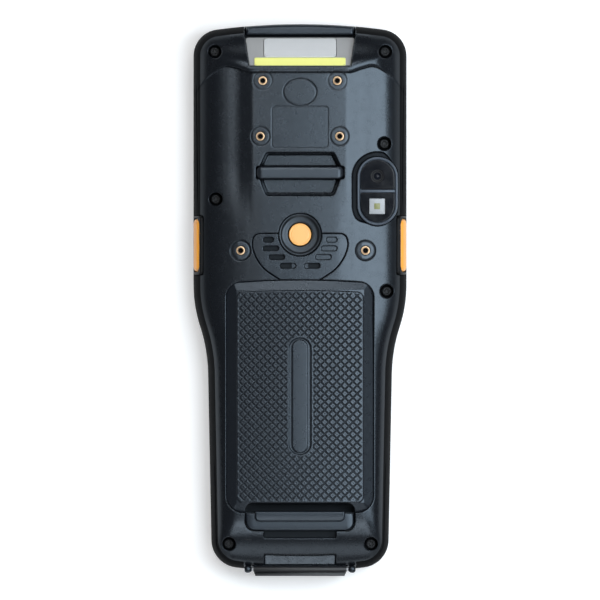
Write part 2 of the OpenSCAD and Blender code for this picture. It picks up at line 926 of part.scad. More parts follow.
module screw_cut() {
    at_screws() {
        slab(screw_seat, far) circle(screw_recess_r);
        slab(0, far) circle(screw_r + fit);
    }
}

module insert_cut() {
    at_inserts() {
        slab(-insert_sink - insert_l, far) circle(insert_r);
        slab(-halo_depth, far) difference() {
            circle(halo_r);
            circle(halo_r - halo_w);
        }
    }
}

module plate_cut() {
    slab(back_z - plate_t, far) {
        plate_plan(fit);
        cap_plan(fit);
    }
}

module cradle_cut() {
    drop = (fall_z - low_fall_z) / (fall_d - low_fall_d);
    floor_z = low_fall_z - cradle_depth;
    bend = low_y + low_fall_d;
    rotate([90, 0, 90]) linear_extrude(cradle_w, center = true) polygon([
        [cradle_top, floor_z + drop * (cradle_top - bend)], [bend, floor_z],
        [cradle_low, floor_z - 1.1 * (bend - cradle_low)], [cradle_low, far], [cradle_top, far]
    ]);
}

module front_housing() {
    color("#1c1e22") difference() {
        union() {
            difference() {
                intersection() {
                    form(0);
                    block(2 * far, -body_l, body_l, -1, front_h);
                }
                intersection() {
                    form(wall);
                    block(2 * far, -body_l, body_l, front_wall, far);
                }
            }
            at_screws() slab(front_wall - 0.5, front_h) circle(front_boss_r);
        }
        at_screws() slab(screw_seat - screw_l, far) circle(screw_r);
        slab(front_h - seal_t, far) seal_plan();
        translate([0, glass_y]) {
            slab(-1, glass_z + glass_t) round_rect(glass_w + 2 * fit, glass_l + 2 * fit, glass_r);
            slab(-1, far) square([module_w + 2 * fit, module_l + 2 * fit], center = true);
        }
        translate([0, keypad_y]) slab(-1, keypad_sink) round_rect(pad_w, keypad_l, 6);
        slab(-1, front_wall + 1) {
            at_keys() key_plan(key_w, key_h, key_gap);
            translate([0, scan_key_y]) scan_key_plan(key_gap);
        }
        translate([0, ear_slot_y]) slab(-1, front_wall + 1)
            rotate(90) stadium(ear_slot_l + 2 * fit, ear_slot_w + 2 * fit);
        block(
            socket_w + 2 * dock_wall + 2 * fit, -body_l, low_y + wall + 1,
            socket_z - dock_wall - fit, socket_z + socket_h + dock_wall + fit
        );
    }
}

module seal_plan() {
    difference() {
        plan(seal_in);
        plan(seal_in + seal_w);
    }
}

module housing_seal() {
    color("#101114") slab(front_h - seal_t, front_h) seal_plan();
}

// ---- Head ----

module nose_lip() {
    color("#363b42") intersection() {
        form(0);
        block(lip_w, lip_y, far, front_h, lip_z);
    }
}

module scan_bezel() {
    color("#a5a5a5") on_slope() difference() {
        slab(-scan_sink - scan_t, -scan_sink) scan_plan(0);
        slab(-scan_sink - pane_t, 0) scan_pane_plan(fit / 2);
        slab(-scan_sink - 2 * scan_t, 0) scan_pane_plan(-0.8);
    }
}

module scan_window() {
    color("#cecece") on_slope() slab(-scan_sink - pane_t, -scan_sink) scan_pane_plan(0);
}

module window_strip() {
    color("#f9fa9c") on_slope() translate([0, strip_l / 2 + 0.3])
        slab(-scan_sink, -scan_sink + strip_t) round_rect(strip_w, strip_l, 0.4);
}

module scan_engine() {
    foot_low = ridge_y - 1.2;
    color("#23262b") {
        on_slope() translate([0, scan_pane_y - 0.3 + engine_l / 2])
            slab(-scan_sink - scan_t - 2 * scan_seat_t - engine_t, -scan_sink - scan_t - 1.1 * scan_seat_t)
                square([engine_w, engine_l], center = true);
        block(engine_w - 4, foot_low, foot_low + 2.6, board_z + board_t, board_z + board_t + 6);
    }
}

// ---- Back ----

module strap_bar() {
    color("#495058") translate([0, bar_y, bar_top - bar_t / 2]) rotate([90, 0, 90])
        linear_extrude(bar_l, center = true) round_rect(bar_w, bar_t, bar_round);
}

module service_plate() {
    color("#41474f") slab(back_z - plate_t, back_z) plate_plan(0);
}

module contact_cap() {
    color("#3f454d") slab(back_z - plate_t, back_z) cap_plan(0);
}

module camera_frame() {
    inner = -cam_wall - cam_ledge;
    color("#515862") difference() {
        slab(cam_floor, cam_z) camera_plan(0);
        difference() {
            union() {
                slab(cam_floor + cam_floor_t, far) camera_plan(inner);
                slab(cam_pane_z, far) camera_plan(-cam_wall);
            }
            slab(0, far) translate([cam_x, cam_y]) square([2 * cam_w, cam_bar], center = true);
        }
    }
}

module camera_panes() {
    color("#191d28", 0.6) slab(cam_pane_z, cam_pane_z + cam_pane_t) difference() {
        camera_plan(-cam_wall - fit);
        translate([cam_x, cam_y]) square([2 * cam_w, cam_bar + 2 * fit], center = true);
    }
}

module camera_module() {
    color("#0c0d10") translate([cam_x, lens_y]) {
        slab(cam_floor + cam_floor_t, cam_pane_z - 2) square([7.6, 7.6], center = true);
        slab(cam_pane_z - 2, cam_pane_z - 0.3) circle(lens_r);
    }
}

module flash_lamp() {
    color("#989da1") translate([cam_x - 0.1, flash_y]) {
        slab(cam_floor + cam_floor_t, cam_pane_z - 1.8) square([4.6, 4.6], center = true);
        slab(cam_pane_z - 1.8, cam_pane_z - 0.5) square([flash_side, flash_side], center = true);
        slab(cam_pane_z - 0.5, cam_pane_z - 0.2) square([2.2, 2.2], center = true);
    }
}

module speaker_panel() {
    color("#3c424a") difference() {
        slab(back_z - panel_t, back_z) panel_plan(0);
        slab(0, far) mirror([1, 0, 0]) for (row = [0 : 3]) sound_slot(row);
        slab(back_z - blind_depth, far) for (row = [0 : 3]) sound_slot(row);
    }
}

module speaker() {
    color("#15171a") translate([speaker_x - speaker_w / 2, speaker_y, back_z - wall - speaker_t])
        cube([speaker_w, speaker_l, speaker_t]);
}

module button_ring() {
    color("#33373d") translate([0, button_y, 0]) rotate_extrude() polygon([
        [ring_bore_r, ring_low], [button_ring_r, ring_low], [button_ring_r, ring_z - 0.3],
        [button_ring_r - 0.3, ring_z], [button_ring_r - 0.8, ring_z],
        [button_ring_r - 1.9, ring_floor], [ring_bore_r, ring_floor]
    ]);
}

module centre_button() {
    flange_z = ring_low - 0.05 - button_flange_t;
    color("#fec988") translate([0, button_y, 0]) rotate_extrude() polygon([
        [0, flange_z], [button_r + button_flange, flange_z],
        [button_r + button_flange, flange_z + button_flange_t], [button_r, flange_z + button_flange_t],
        [button_r, button_z - 0.5], [button_r - 0.5, button_z], [0, button_z]
    ]);
}

module button_switches() {
    top = ring_low - button_flange_t - button_travel - 0.1;
    color("#8a8d90") {
        translate([0, button_y]) slab(cup_floor, top) square([switch_side, switch_side], center = true);
        both_sides() translate([side_switch_x - side_switch_t, side_y - switch_side / 2, side_low + 1])
            cube([side_switch_t, switch_side, side_button_h - 2]);
    }
}

// ---- Sides ----

module side_frame() {
    color("#26282c") difference() {
        side_bar(
            side_button_l + 2 * side_frame_w, side_low - side_frame_w,
            side_low + side_button_h + side_frame_w, side_frame_x, 0
        );
        translate([0, side_y - side_button_l / 2 - move_gap, side_low - move_gap])
            cube([far, side_button_l + 2 * move_gap, side_button_h + 2 * move_gap]);
    }
}

module side_button() {
    color("#f0932f") {
        side_bar(side_button_l, side_low, side_low + side_button_h, side_flange_x, side_proud);
        translate([side_flange_x, side_y - side_button_l / 2, side_low - side_flange_w])
            cube([side_flange_t, side_button_l, side_button_h + 2 * side_flange_w]);
    }
}

module side_frame_right() {
    side_frame();
}

module side_frame_left() {
    mirror([1, 0, 0]) side_frame();
}

module side_button_right() {
    side_button();
}

module side_button_left() {
    mirror([1, 0, 0]) side_button();
}

// ---- Battery ----

module battery_pack() {
    color("#1d1f22") translate([0, (battery_top + battery_low) / 2])
        slab(bay_floor + 0.05, bay_floor + 0.05 + battery_t) round_rect(battery_w, battery_l, 1.5);
}

module battery_contacts() {
    color("#b08d3c") {
        block(contact_w, bay_top - contact_t, bay_top, bay_floor, bay_floor + contact_h);
        for (k = [-1.5 : 1.5]) translate([k * contact_w / 6, bay_top - contact_t - bay_gap / 4, bay_floor + 2])
            translate([-spring_w / 2, 0, 0]) cube([spring_w, bay_gap / 4, spring_h]);
    }
}

module card_tray() {
    color("#9a9da0") block(tray_w, cover_y - tray_l / 2, cover_y + tray_l / 2, bay_floor - tray_t, bay_floor);
}

module battery_cover() {
    half = cover_w / 2;
    color("#40464f") difference() {
        union() {
            intersection() {
                slab(seat_z + 0.05, far) cover_plan(0);
                rotate([90, 0, 0]) linear_extrude(far, center = true) polygon([
                    [-half - 1, 0], [half + 1, 0], [half + 1, cover_edge_z - 0.7], [half - bevel_w, cover_z],
                    [-half + bevel_w, cover_z], [-half - 1, cover_edge_z - 0.7]
                ]);
                rotate([90, 0, 90]) linear_extrude(far, center = true) polygon([
                    [cover_top + 1, 0], [cover_top + 1, cover_end_z - 0.3], [cover_top - bevel_w, cover_z],
                    [cover_low + bevel_w, cover_z], [cover_low - 1, cover_edge_z - 0.3], [cover_low - 1, 0]
                ]);
            }
            translate([0, (cover_top - bevel_w + pad_end) / 2]) slab(cover_z - 1, cover_z + pad_rise)
                round_rect(cover_w - 2 * bevel_w, cover_top - bevel_w - pad_end, pad_r);
            both_sides() translate([tab_x - tab_w / 2, cover_top - cover_rim, tab_z])
                cube([tab_w, cover_rim + tab_l, tab_t]);
        }
        block(2 * bay_half + 0.2, bay_low, bay_top, 0, cover_z - cover_t);
        translate([0, cover_y]) {
            slab(cover_z + pad_rise - groove_depth, far) difference() {
                stadium(groove_w, groove_l);
                stadium(island_w, island_l);
            }
            slab(cover_z + pad_rise - groove_depth + island_rise, far) stadium(groove_w, groove_l);
        }
        slab(0, far) notch_plan(cover_low - finger_gap, 0);
    }
}

module battery_latch() {
    y = (latch_top + latch_low) / 2;
    low = latch_floor + 0.05;
    color("#495158") {
        slab(low, low + latch_t) {
            translate([0, y]) round_rect(latch_w, latch_l, latch_r - 0.1);
            translate([-latch_w / 2, y]) square([latch_w, latch_l / 2]);
        }
        translate([0, latch_top + thumb_up - thumb_l / 2]) slab(low, thumb_z) round_rect(thumb_w, thumb_l, 1);
    }
}

// ---- Lower end ----

module lid_side() {
    outer = -body_l / 2;
    translate([lid_y, lid_z]) circle(lid_barrel_r);
    translate([outer, lid_web_low]) square([lid_y + 0.3 - outer, lid_web_z - lid_web_low]);
    translate([lid_y - 0.6, lid_web_low]) square([0.9, lid_z - lid_web_low]);
    translate([outer, lid_low]) square([lid_t - 0.15, lid_web_z - lid_low]);
    translate([outer, lid_low]) square([lid_lip_t, lid_lip_z - lid_low]);
}

module connector_lid() {
    outer = -body_l / 2;
    color("#23262b") difference() {
        intersection() {
            rotate([90, 0, 90]) linear_extrude(lid_w, center = true) lid_side();
            slab(0, far) polygon([
                [-lid_half, far], [lid_half, far], [lid_half, low_y], [lid_half - lid_taper, outer],
                [-lid_half + lid_taper, outer], [-lid_half, low_y]
            ]);
        }
        translate([-lid_w, lid_y, lid_z]) rotate([0, 90, 0]) cylinder(2 * lid_w, r = lid_pin_r + pin_gap);
    }
}

module lid_pin() {
    l = 2 * (lid_half + ear_gap + ear_w) - 0.4;
    color("#b8bbbd") translate([-l / 2, lid_y, lid_z]) rotate([0, 90, 0]) cylinder(l, r = lid_pin_r);
}

module dock_connector() {
    top = socket_z + socket_h + dock_wall;
    low = socket_z - dock_wall;
    color("#2a2c30") difference() {
        union() {
            block(socket_w + 2 * dock_wall, low_y + dock_nose, low_y + dock_l, low, top);
            block(socket_w, low_y + dock_l - 2.6, low_y + dock_l, front_wall, top);
        }
        block(socket_w, -body_l, low_y + dock_nose + socket_depth, socket_z, socket_z + socket_h);
    }
}

// ---- Fasteners ----

module housing_screws() {
    color("#141414") at_screws() {
        difference() {
            slab(screw_seat, screw_seat + screw_head_t) circle(screw_head_r);
            slab(screw_seat + 0.6, far) circle(1, $fn = 6);
        }
        slab(screw_seat - screw_l, screw_seat) circle(screw_r);
    }
}

module thread_inserts() {
    color("#c9a063") at_inserts() slab(-insert_sink - insert_l, -insert_sink) difference() {
        circle(insert_r);
        circle(insert_bore_r);
    }
}

// ---- Screen side and boards ----

module display_glass() {
    color("#0b0d12") translate([0, glass_y]) slab(glass_z, glass_z + glass_t) round_rect(glass_w, glass_l, glass_r);
}

module display_module() {
    low = glass_z + glass_t;
    color("#7d8286") translate([0, glass_y]) {
        slab(low, low + module_t) square([module_w, module_l], center = true);
        for (x = [-1, 1], y = [board_low + board_post - glass_y, board_top - board_post - glass_y])
            translate([x * (board_w / 2 - board_post), y]) slab(low + module_t, board_z) circle(standoff_r);
    }
}

module main_board() {
    top = board_z + board_t;
    color("#1f5c3a") {
        block(board_w, board_low, board_top, board_z, top);
        for (k = [0, 1]) translate([can_x[k], can_y, 0])
            block(can_w[k], -can_l[k] / 2, can_l[k] / 2, top, top + can_t);
    }
}

module vibration_motor() {
    color("#a9acae") translate([-board_w / 2 + motor_r + 3, button_y + 5, board_z + board_t]) cylinder(motor_t, r = motor_r);
}

module earpiece() {
    color("#202226") translate([0, ear_slot_y]) {
        slab(glass_z, front_wall) rotate(90) stadium(ear_slot_l, ear_slot_w);
        translate([0, -ear_block_in]) slab(front_wall, front_wall + ear_block_t)
            square([ear_slot_w, ear_block_l], center = true);
    }
}

module keypad_mat() {
    color("#2f3136") translate([0, keypad_y]) {
        slab(mat_z, mat_z + mat_t) square([mat_w, mat_l], center = true);
        slab(front_wall, mat_z) difference() {
            square([mat_w, mat_l], center = true);
            square([mat_w - 2 * mat_rim, mat_l - 2 * mat_rim], center = true);
        }
    }
}

module keypad_board() {
    low = mat_z + mat_t;
    color("#1f5c3a") translate([0, keypad_y]) slab(low, low + key_board_t) square([mat_w - 2, mat_l - 2], center = true);
}

module scan_key_plan(gap) {
    round_rect(scan_key_w + 2 * gap, scan_key_h + 2 * gap, scan_key_h / 2 - 0.5);
}

module scan_key() {
    color("#f0932f") translate([0, scan_key_y]) {
        slab(key_top_z, front_wall + key_rest + key_flange_t) scan_key_plan(0);
        slab(front_wall + key_rest, front_wall + key_rest + key_flange_t) scan_key_plan(key_flange);
    }
}

module key() {
    color("#3a3d42") {
        slab(key_top_z, front_wall + key_rest + key_flange_t) key_plan(key_w, key_h, 0);
        slab(front_wall + key_rest, front_wall + key_rest + key_flange_t) key_plan(key_w, key_h, key_flange);
    }
}

rear_housing();
front_housing();
housing_seal();
nose_lip();
scan_bezel();
scan_window();
window_strip();
scan_engine();
strap_bar();
service_plate();
contact_cap();
camera_frame();
camera_panes();
camera_module();
flash_lamp();
speaker_panel();
speaker();
button_ring();
button_switches();
side_frame_left();
side_frame_right();
battery_pack();
battery_contacts();
card_tray();
lid_pin();
dock_connector();
housing_screws();
thread_inserts();
display_glass();
display_module();
keypad_mat();
keypad_board();
main_board();
vibration_motor();
earpiece();
battery_cover();
battery_latch();
connector_lid();
centre_button();
side_button_left();
side_button_right();
scan_key();
for (row = [1 : key_rows], column = [1 : key_columns])
    at_key(row, column) key();
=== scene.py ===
import json
import math

import bmesh
import bpy
import numpy as np
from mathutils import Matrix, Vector

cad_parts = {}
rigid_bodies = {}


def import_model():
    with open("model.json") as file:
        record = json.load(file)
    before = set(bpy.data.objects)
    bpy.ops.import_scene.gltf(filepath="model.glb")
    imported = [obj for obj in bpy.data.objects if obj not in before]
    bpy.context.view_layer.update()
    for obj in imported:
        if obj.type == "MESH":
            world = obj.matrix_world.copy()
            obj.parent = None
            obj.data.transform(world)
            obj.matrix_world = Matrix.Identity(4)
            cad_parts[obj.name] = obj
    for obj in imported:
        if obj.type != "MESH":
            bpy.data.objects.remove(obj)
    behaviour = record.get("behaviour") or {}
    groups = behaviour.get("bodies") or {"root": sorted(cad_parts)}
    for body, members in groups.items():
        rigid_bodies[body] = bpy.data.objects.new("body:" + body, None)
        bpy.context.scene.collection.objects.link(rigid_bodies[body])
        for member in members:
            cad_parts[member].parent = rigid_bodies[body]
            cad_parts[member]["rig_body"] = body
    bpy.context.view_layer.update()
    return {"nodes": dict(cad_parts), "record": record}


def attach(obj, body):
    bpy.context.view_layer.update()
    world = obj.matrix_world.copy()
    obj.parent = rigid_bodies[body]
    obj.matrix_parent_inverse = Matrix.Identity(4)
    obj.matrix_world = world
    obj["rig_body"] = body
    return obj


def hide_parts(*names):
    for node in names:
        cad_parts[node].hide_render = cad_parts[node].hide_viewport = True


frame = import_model()
MM = 0.001


# ---------------------------------------------------------------- sizes shared with the solids
HW, GW, EW = 40.0, 34.7, 33.3
TOP, LOW = 103.65, -101.9
NECK_Y, NECK_L = -2.2, 16.5
SPLIT_Z, BACK_Z, RIDGE_Z = 14.0, 29.0, 31.8
ROLL_W, ROLL_Z = 9.0, 27.2
HEAD_R, GRIP_R = 10.0, 10.5
TOP_R, LOW_R = 236.0, 200.0
HEAD_CX = HW - HEAD_R
HEAD_CY = TOP - TOP_R + math.sqrt((TOP_R - HEAD_R) ** 2 - HEAD_CX ** 2)
GRIP_CX = EW - GRIP_R
GRIP_CY = LOW + LOW_R - math.sqrt((LOW_R - GRIP_R) ** 2 - GRIP_CX ** 2)
SCREWS = [(-32, 93.25), (32, 93.25), (31.7, 58.7), (-31.6, 37.9), (32.6, 3.3), (-26.7, -91.55), (26.7, -91.55)]
INSERTS = [(-14, 82.4, 29), (14, 82.4, 29), (-14.9, 61.5, 29), (14.9, 61.5, 29), (-22.3, 18.6, 27.6),
           (24.6, 18.6, 27.6)]
CAM_X, CAM_Y, CAM_W, CAM_L = 29.1, 40.9, 15.3, 25.8
BUTTON_Y = 24.6
COVER_TOP, COVER_LOW, COVER_HALF = 7.5, -79.8, 27.65
COVER_R_TOP, COVER_R_LOW, ARCH = 5.3, 6.4, 640.0
BAY_Y = -34.65
LATCH_TOP, LATCH_LOW = -79.95, -86.65
NOTCH_HALF = 20.55
PAD_END = -76.2
SIDE_Y, SIDE_Z, SIDE_L = 20.55, 18.7, 20.0
DEEP = 14.0  # inset from which the body's outline no longer matters
FLANK_W = 2.5


# ---------------------------------------------------------------- mesh helpers
def add_mesh(name, v, f, slot, dark=None, **at):
    """Object from points in millimetres and faces, with an optional share of painted shade per point."""
    me = bpy.data.meshes.new(name)
    v = np.asarray(v, dtype=np.float64)
    shares = None if dark is None else dark(v)
    v = v * MM
    if isinstance(f, np.ndarray):
        m, k = f.shape
        me.vertices.add(len(v))
        me.vertices.foreach_set("co", v.ravel())
        me.loops.add(m * k)
        me.loops.foreach_set("vertex_index", f.astype(np.int32).ravel())
        me.polygons.add(m)
        me.polygons.foreach_set("loop_start", np.arange(0, m * k, k, dtype=np.int32))
        me.polygons.foreach_set("loop_total", np.full(m, k, dtype=np.int32))
        me.update(calc_edges=True)
    else:
        me.from_pydata([tuple(p) for p in v], [], f)
    me.validate()
    if shares is not None:
        layer = me.attributes.new("dark", "FLOAT", "POINT")
        layer.data.foreach_set("value", np.asarray(shares, dtype=np.float32))
    return add_object(name, me, slot, **at)


def add_object(name, me, slot, replaces=None, body="chassis", mat=None, sharp=None):
    """Object in its slot and on its body. Its material is the slot's, unless another is named."""
    ob = bpy.data.objects.new(name, me)
    bpy.context.scene.collection.objects.link(ob)
    me.materials.append(MAT[mat or slot])
    me.polygons.foreach_set("use_smooth", [True] * len(me.polygons))
    if sharp:
        me.set_sharp_from_angle(angle=math.radians(sharp))
    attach(ob, body)
    if replaces:
        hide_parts(replaces)
    return ob


def bevel_edges(bm, width, segments, angle):
    edges = [e for e in bm.edges if len(e.link_faces) == 2 and e.calc_face_angle(0) > math.radians(angle)]
    bmesh.ops.bevel(bm, geom=edges, offset=width, segments=segments, profile=0.5, affect="EDGES",
                    clamp_overlap=True)


def mesh_of(bm, name):
    me = bpy.data.meshes.new(name)
    bm.to_mesh(me)
    bm.free()
    return me


def prisms(name, parts, width, slot, **at):
    """Upright prisms with rounded edges, each from a counter-clockwise outline and two heights."""
    bm = bmesh.new()
    for pts, z0, z1 in parts:
        low = [bm.verts.new((x, y, z0)) for x, y in pts]
        top = [bm.verts.new((x, y, z1)) for x, y in pts]
        n = len(pts)
        bm.faces.new(low[::-1])
        bm.faces.new(top)
        for k in range(n):
            bm.faces.new((low[k], low[(k + 1) % n], top[(k + 1) % n], top[k]))
    bmesh.ops.remove_doubles(bm, verts=bm.verts, dist=1e-5)
    bmesh.ops.recalc_face_normals(bm, faces=bm.faces)
    bevel_edges(bm, width, 3, 30)
    bmesh.ops.scale(bm, vec=(MM, MM, MM), verts=bm.verts)
    return add_object(name, mesh_of(bm, name), slot, sharp=40, **at)


def lathe(name, profile, centre, slot, steps, axis="Z", **at):
    """Turned piece: profile is a list of (radius, height) from the outside bottom round to the inside."""
    n = len(profile)
    v, f = [], []
    for k in range(steps):
        a = 2 * math.pi * k / steps
        for r, h in profile:
            if axis == "Z":
                v.append((centre[0] + r * math.cos(a), centre[1] + r * math.sin(a), centre[2] + h))
            else:
                v.append((centre[0] + h, centre[1] + r * math.cos(a), centre[2] + r * math.sin(a)))
    for k in range(steps):
        for j in range(n - 1):
            a, b = k * n + j, ((k + 1) % steps) * n + j
            f.append((a, b, b + 1, a + 1))
    return add_mesh(name, v, np.array(f), slot, sharp=30, **at)


def arc(cx, cy, r, a0, a1, n):
    turn = [math.radians(a0 + (a1 - a0) * k / n) for k in range(n + 1)]
    return [(cx + r * math.cos(a), cy + r * math.sin(a)) for a in turn]


def box_pts(x0, x1, y0, y1):
    return [(x0, y0), (x1, y0), (x1, y1), (x0, y1)]


def round_rect_pts(cx, cy, w, h, r, n=8):
    x, y = w / 2 - r, h / 2 - r
    return (arc(cx + x, cy - y, r, -90, 0, n) + arc(cx + x, cy + y, r, 0, 90, n)
            + arc(cx - x, cy + y, r, 90, 180, n) + arc(cx - x, cy - y, r, 180, 270, n))


def stadium_pts(cx, cy, w, l, n=28):
    r = w / 2
    return arc(cx, cy + l / 2 - r, r, 0, 180, n) + arc(cx, cy - l / 2 + r, r, 180, 360, n)


# ---------------------------------------------------------------- distances in plan
def sd_rect(x, y, cx, cy, hx, hy, r):
    qx, qy = np.abs(x - cx) - hx + r, np.abs(y - cy) - hy + r
    return np.hypot(np.maximum(qx, 0), np.maximum(qy, 0)) + np.minimum(np.maximum(qx, qy), 0) - r


def sd_circle(x, y, cx, cy, r):
    return np.hypot(x - cx, y - cy) - r


def sd_stadium(x, y, cx, cy, w, l):
    t = np.clip(y - cy, -(l - w) / 2, (l - w) / 2)
    return np.hypot(x - cx, y - cy - t) - w / 2


def sd_slot_x(x, y, x0, x1, cy, h):
    t = np.clip(x, x0 + h / 2, x1 - h / 2)
    return np.hypot(x - t, y - cy) - h / 2


def sd_poly(x, y, pts, r=0.0):
    """Signed distance to a polygon, negative inside, with its corners rounded by r."""
    n = len(pts)
    best = np.full(np.shape(x), 1e9)
    inside = np.zeros(np.shape(x), bool)
    for k in range(n):
        (ax, ay), (bx, by) = pts[k], pts[(k + 1) % n]
        ex, ey = bx - ax, by - ay
        t = np.clip(((x - ax) * ex + (y - ay) * ey) / (ex * ex + ey * ey), 0, 1)
        best = np.minimum(best, np.hypot(x - ax - t * ex, y - ay - t * ey))
        cross = ((ay > y) != (by > y)) & (x < (bx - ax) * (y - ay) / np.where(by == ay, 1e-9, by - ay) + ax)
        inside ^= cross
    return np.where(inside, -best, best) - r


def step(a, b, t):
    s = np.clip((t - a) / (b - a), 0, 1)
    return s * s * (3 - 2 * s)


def recess(z, d, floor, wall=0.3, edge=0.25):
    """Sinks the surface to a floor inside a shape, with a rounded rim outside it."""
    e = np.clip(edge - np.maximum(d, 0), 0, edge) if edge > 0 else 0 * d
    if edge > 0:
        z = z - (edge - np.sqrt(np.maximum(edge * edge - e * e, 0)))
    s = step(0, wall, -d)
    return z + (np.minimum(floor, z) - z) * s


def table(points, sigma, lo, hi):
    """Smooth curve through a few points, as a function."""
    t = np.arange(lo, hi, 0.1)
    y = np.interp(t, [p[0] for p in points], [p[1] for p in points])
    k = np.arange(-int(4 * sigma / 0.1), int(4 * sigma / 0.1) + 1) * 0.1
    w = np.exp(-0.5 * (k / sigma) ** 2)
    w /= w.sum()
    pad = len(k) // 2
    y = np.convolve(np.pad(y, pad, mode="edge"), w, mode="valid")
    return lambda q: np.interp(q, t, y)


# ---------------------------------------------------------------- outline of the body
def run_lengths(p):
    return np.concatenate([[0], np.cumsum(np.hypot(*np.diff(p, axis=0).T))])


def along_path(p, s, q):
    return np.stack([np.interp(q, s, p[:, 0]), np.interp(q, s, p[:, 1])], 1)


def across(t):
    """Unit vectors square to a path's directions."""
    t = t / np.linalg.norm(t, axis=1)[:, None]
    return np.stack([t[:, 1], -t[:, 0]], 1)


def outline_right(step_mm):
    a_low = math.degrees(math.atan2(GRIP_CY - LOW - LOW_R, GRIP_CX))
    a_top = math.degrees(math.atan2(HEAD_CY - TOP + TOP_R, HEAD_CX))
    pts = arc(0, LOW + LOW_R, LOW_R, -90, a_low, 120)
    pts += arc(GRIP_CX, GRIP_CY, GRIP_R, a_low, 0, 60)[1:]
    neck = [(GW, NECK_Y - NECK_L), (HW, NECK_Y)]
    ends = [(pts[-1], neck[1], neck[0], 9.0), (neck[0], (HW, HEAD_CY), neck[1], 8.0)]
    for before, after, corner, cut in ends:
        d0 = np.array(before) - corner
        d1 = np.array(after) - corner
        p0 = np.array(corner) + d0 / np.linalg.norm(d0) * cut
        p1 = np.array(corner) + d1 / np.linalg.norm(d1) * cut
        for t in np.linspace(0, 1, 24):
            q = (1 - t) ** 2 * p0 + 2 * t * (1 - t) * np.array(corner) + t * t * p1
            pts.append(tuple(q))
    pts += arc(HEAD_CX, HEAD_CY, HEAD_R, 0, a_top, 60)
    pts += arc(0, TOP - TOP_R, TOP_R, a_top, 90, 120)[1:]
    p = np.array(pts)
    s = run_lengths(p)
    return along_path(p, s, np.linspace(0, s[-1], int(s[-1] / step_mm)))


def closed_outline(step_mm):
    r = outline_right(step_mm)
    p = np.concatenate([r, (r * [-1, 1])[::-1][1:-1]])
    t = np.roll(p, -1, axis=0) - np.roll(p, 1, axis=0)
    return p, across((np.roll(t, 1, axis=0) + 2 * t + np.roll(t, -1, axis=0)) / 4)


OUT_P, OUT_N = closed_outline(0.28)


def inset_of(x, y):
    """Distance inside the outline, exact near it and DEEP far inside."""
    shape = np.shape(x)
    x, y = np.ravel(x), np.ravel(y)
    d = np.full(len(x), DEEP)
    near = np.nonzero((np.abs(x) > 18) | (y > TOP - 15) | (y < LOW + 15))[0]
    seg = OUT_P[::2]
    for k in range(0, len(near), 20000):
        q = near[k:k + 20000]
        best = np.full(len(q), 1e9)
        for j in range(0, len(seg), 200):
            s = seg[j:j + 200]
            dd = (x[q][:, None] - s[None, :, 0]) ** 2 + (y[q][:, None] - s[None, :, 1]) ** 2
            best = np.minimum(best, dd.min(1))
        d[q] = np.minimum(DEEP, np.sqrt(best))
    return d.reshape(shape)


# ---------------------------------------------------------------- height of the back
STEPPED = table([(0, 0), (17.7, 0), (18.6, 0.2), (22.6, 1.45), (24.2, 1.73), (27, 2.03), (29, 2.36), (30.5, 2.7),
                 (32, 3.15), (33.5, 3.75), (35, 4.5), (37, 5.8), (40.5, 8.6)], 0.42, 0, 45)
CROWN = table([(0, 0), (15, 0), (20, 0.3), (25, 1.0), (29, 1.9), (33, 3.1), (36, 4.5), (38.5, 6.2), (41, 8.5)],
              1.2, 0, 45)
ALONG = table([(-104, 14.2), (-101.9, 12.6), (-97.9, 8.4), (-93.5, 5.4), (-89.4, 3.4), (-83, 1.9), (-74, 1.0),
               (-59, 0.0), (80, 0), (88, 0.0), (99.45, 5.2), (105, 9.4)], 1.6, -110, 110)
BLOCK_Y = table([(0, 85.75), (19.4, 85.75), (22.5, 86.9), (26.0, 87.9), (27.6, 88.0), (29.6, 87.4), (32.8, 85.3),
                 (35.4, 83.1), (37.4, 80.7), (41, 75.0)], 0.5, 0, 45)
BLOCK_X = table([(0, 0), (18, 0), (24, 1.3), (29, 3.2), (33, 4.6), (37, 6.6), (41, 9.2)], 1.5, 0, 45)
BLOCK_ALONG = table([(70, 0.2), (86, 0.0), (88.0, 0.15), (91, 1.5), (95, 4.2), (99.45, 7.8), (102, 10.4),
                     (105, 14.0)], 1.1, 65, 110)


def roll_drop(i, peak):
    """Drop from a peak height along the rolled side, flat 14 in from the outline."""
    c = np.clip(i, 0, 6)
    z = SPLIT_Z + (ROLL_Z - SPLIT_Z) * np.sqrt(np.maximum(1 - (1 - c / ROLL_W) ** 2, 0))
    t = np.clip((i - 6) / 8, 0, 1)
    end = (2 * t ** 3 - 3 * t ** 2 + 1) * (peak - 26.445) - (t ** 3 - 2 * t ** 2 + t) * 4.148
    return np.where(i < 6, peak - z, np.maximum(end, 0))


def base_height(x, y, i):
    ax = np.abs(x)
    w = step(28, 52, y)
    da = STEPPED(ax) * w + CROWN(ax) * (1 - w)
    z = BACK_Z - (da ** 4 + ALONG(y) ** 4 + roll_drop(i, BACK_Z) ** 4) ** 0.25
    # raised block across the head
    zb = RIDGE_Z - (BLOCK_ALONG(y) ** 3 + BLOCK_X(ax) ** 3 + roll_drop(i, RIDGE_Z) ** 3) ** (1 / 3)
    edge = y - BLOCK_Y(ax)
    m = step(-0.45, 0.05, edge)
    lift = np.maximum(zb - z, 0)
    soft = 0.32 * (1 - np.clip(edge, 0, 1.4) / 1.4) ** 2 * np.clip(lift / 2, 0, 1)
    return z + np.maximum(lift - soft, 0) * m - 0.28 * np.clip(ax / 19, 0, 1) ** 2 * (1 - m)


def mid_height(x, y):
    """Height of the back away from its rolled sides."""
    return base_height(x, y, np.full(np.shape(x), DEEP))


SLOPE = math.radians(43)
SCAN_Y, SCAN_Z = 88.15, 31.2


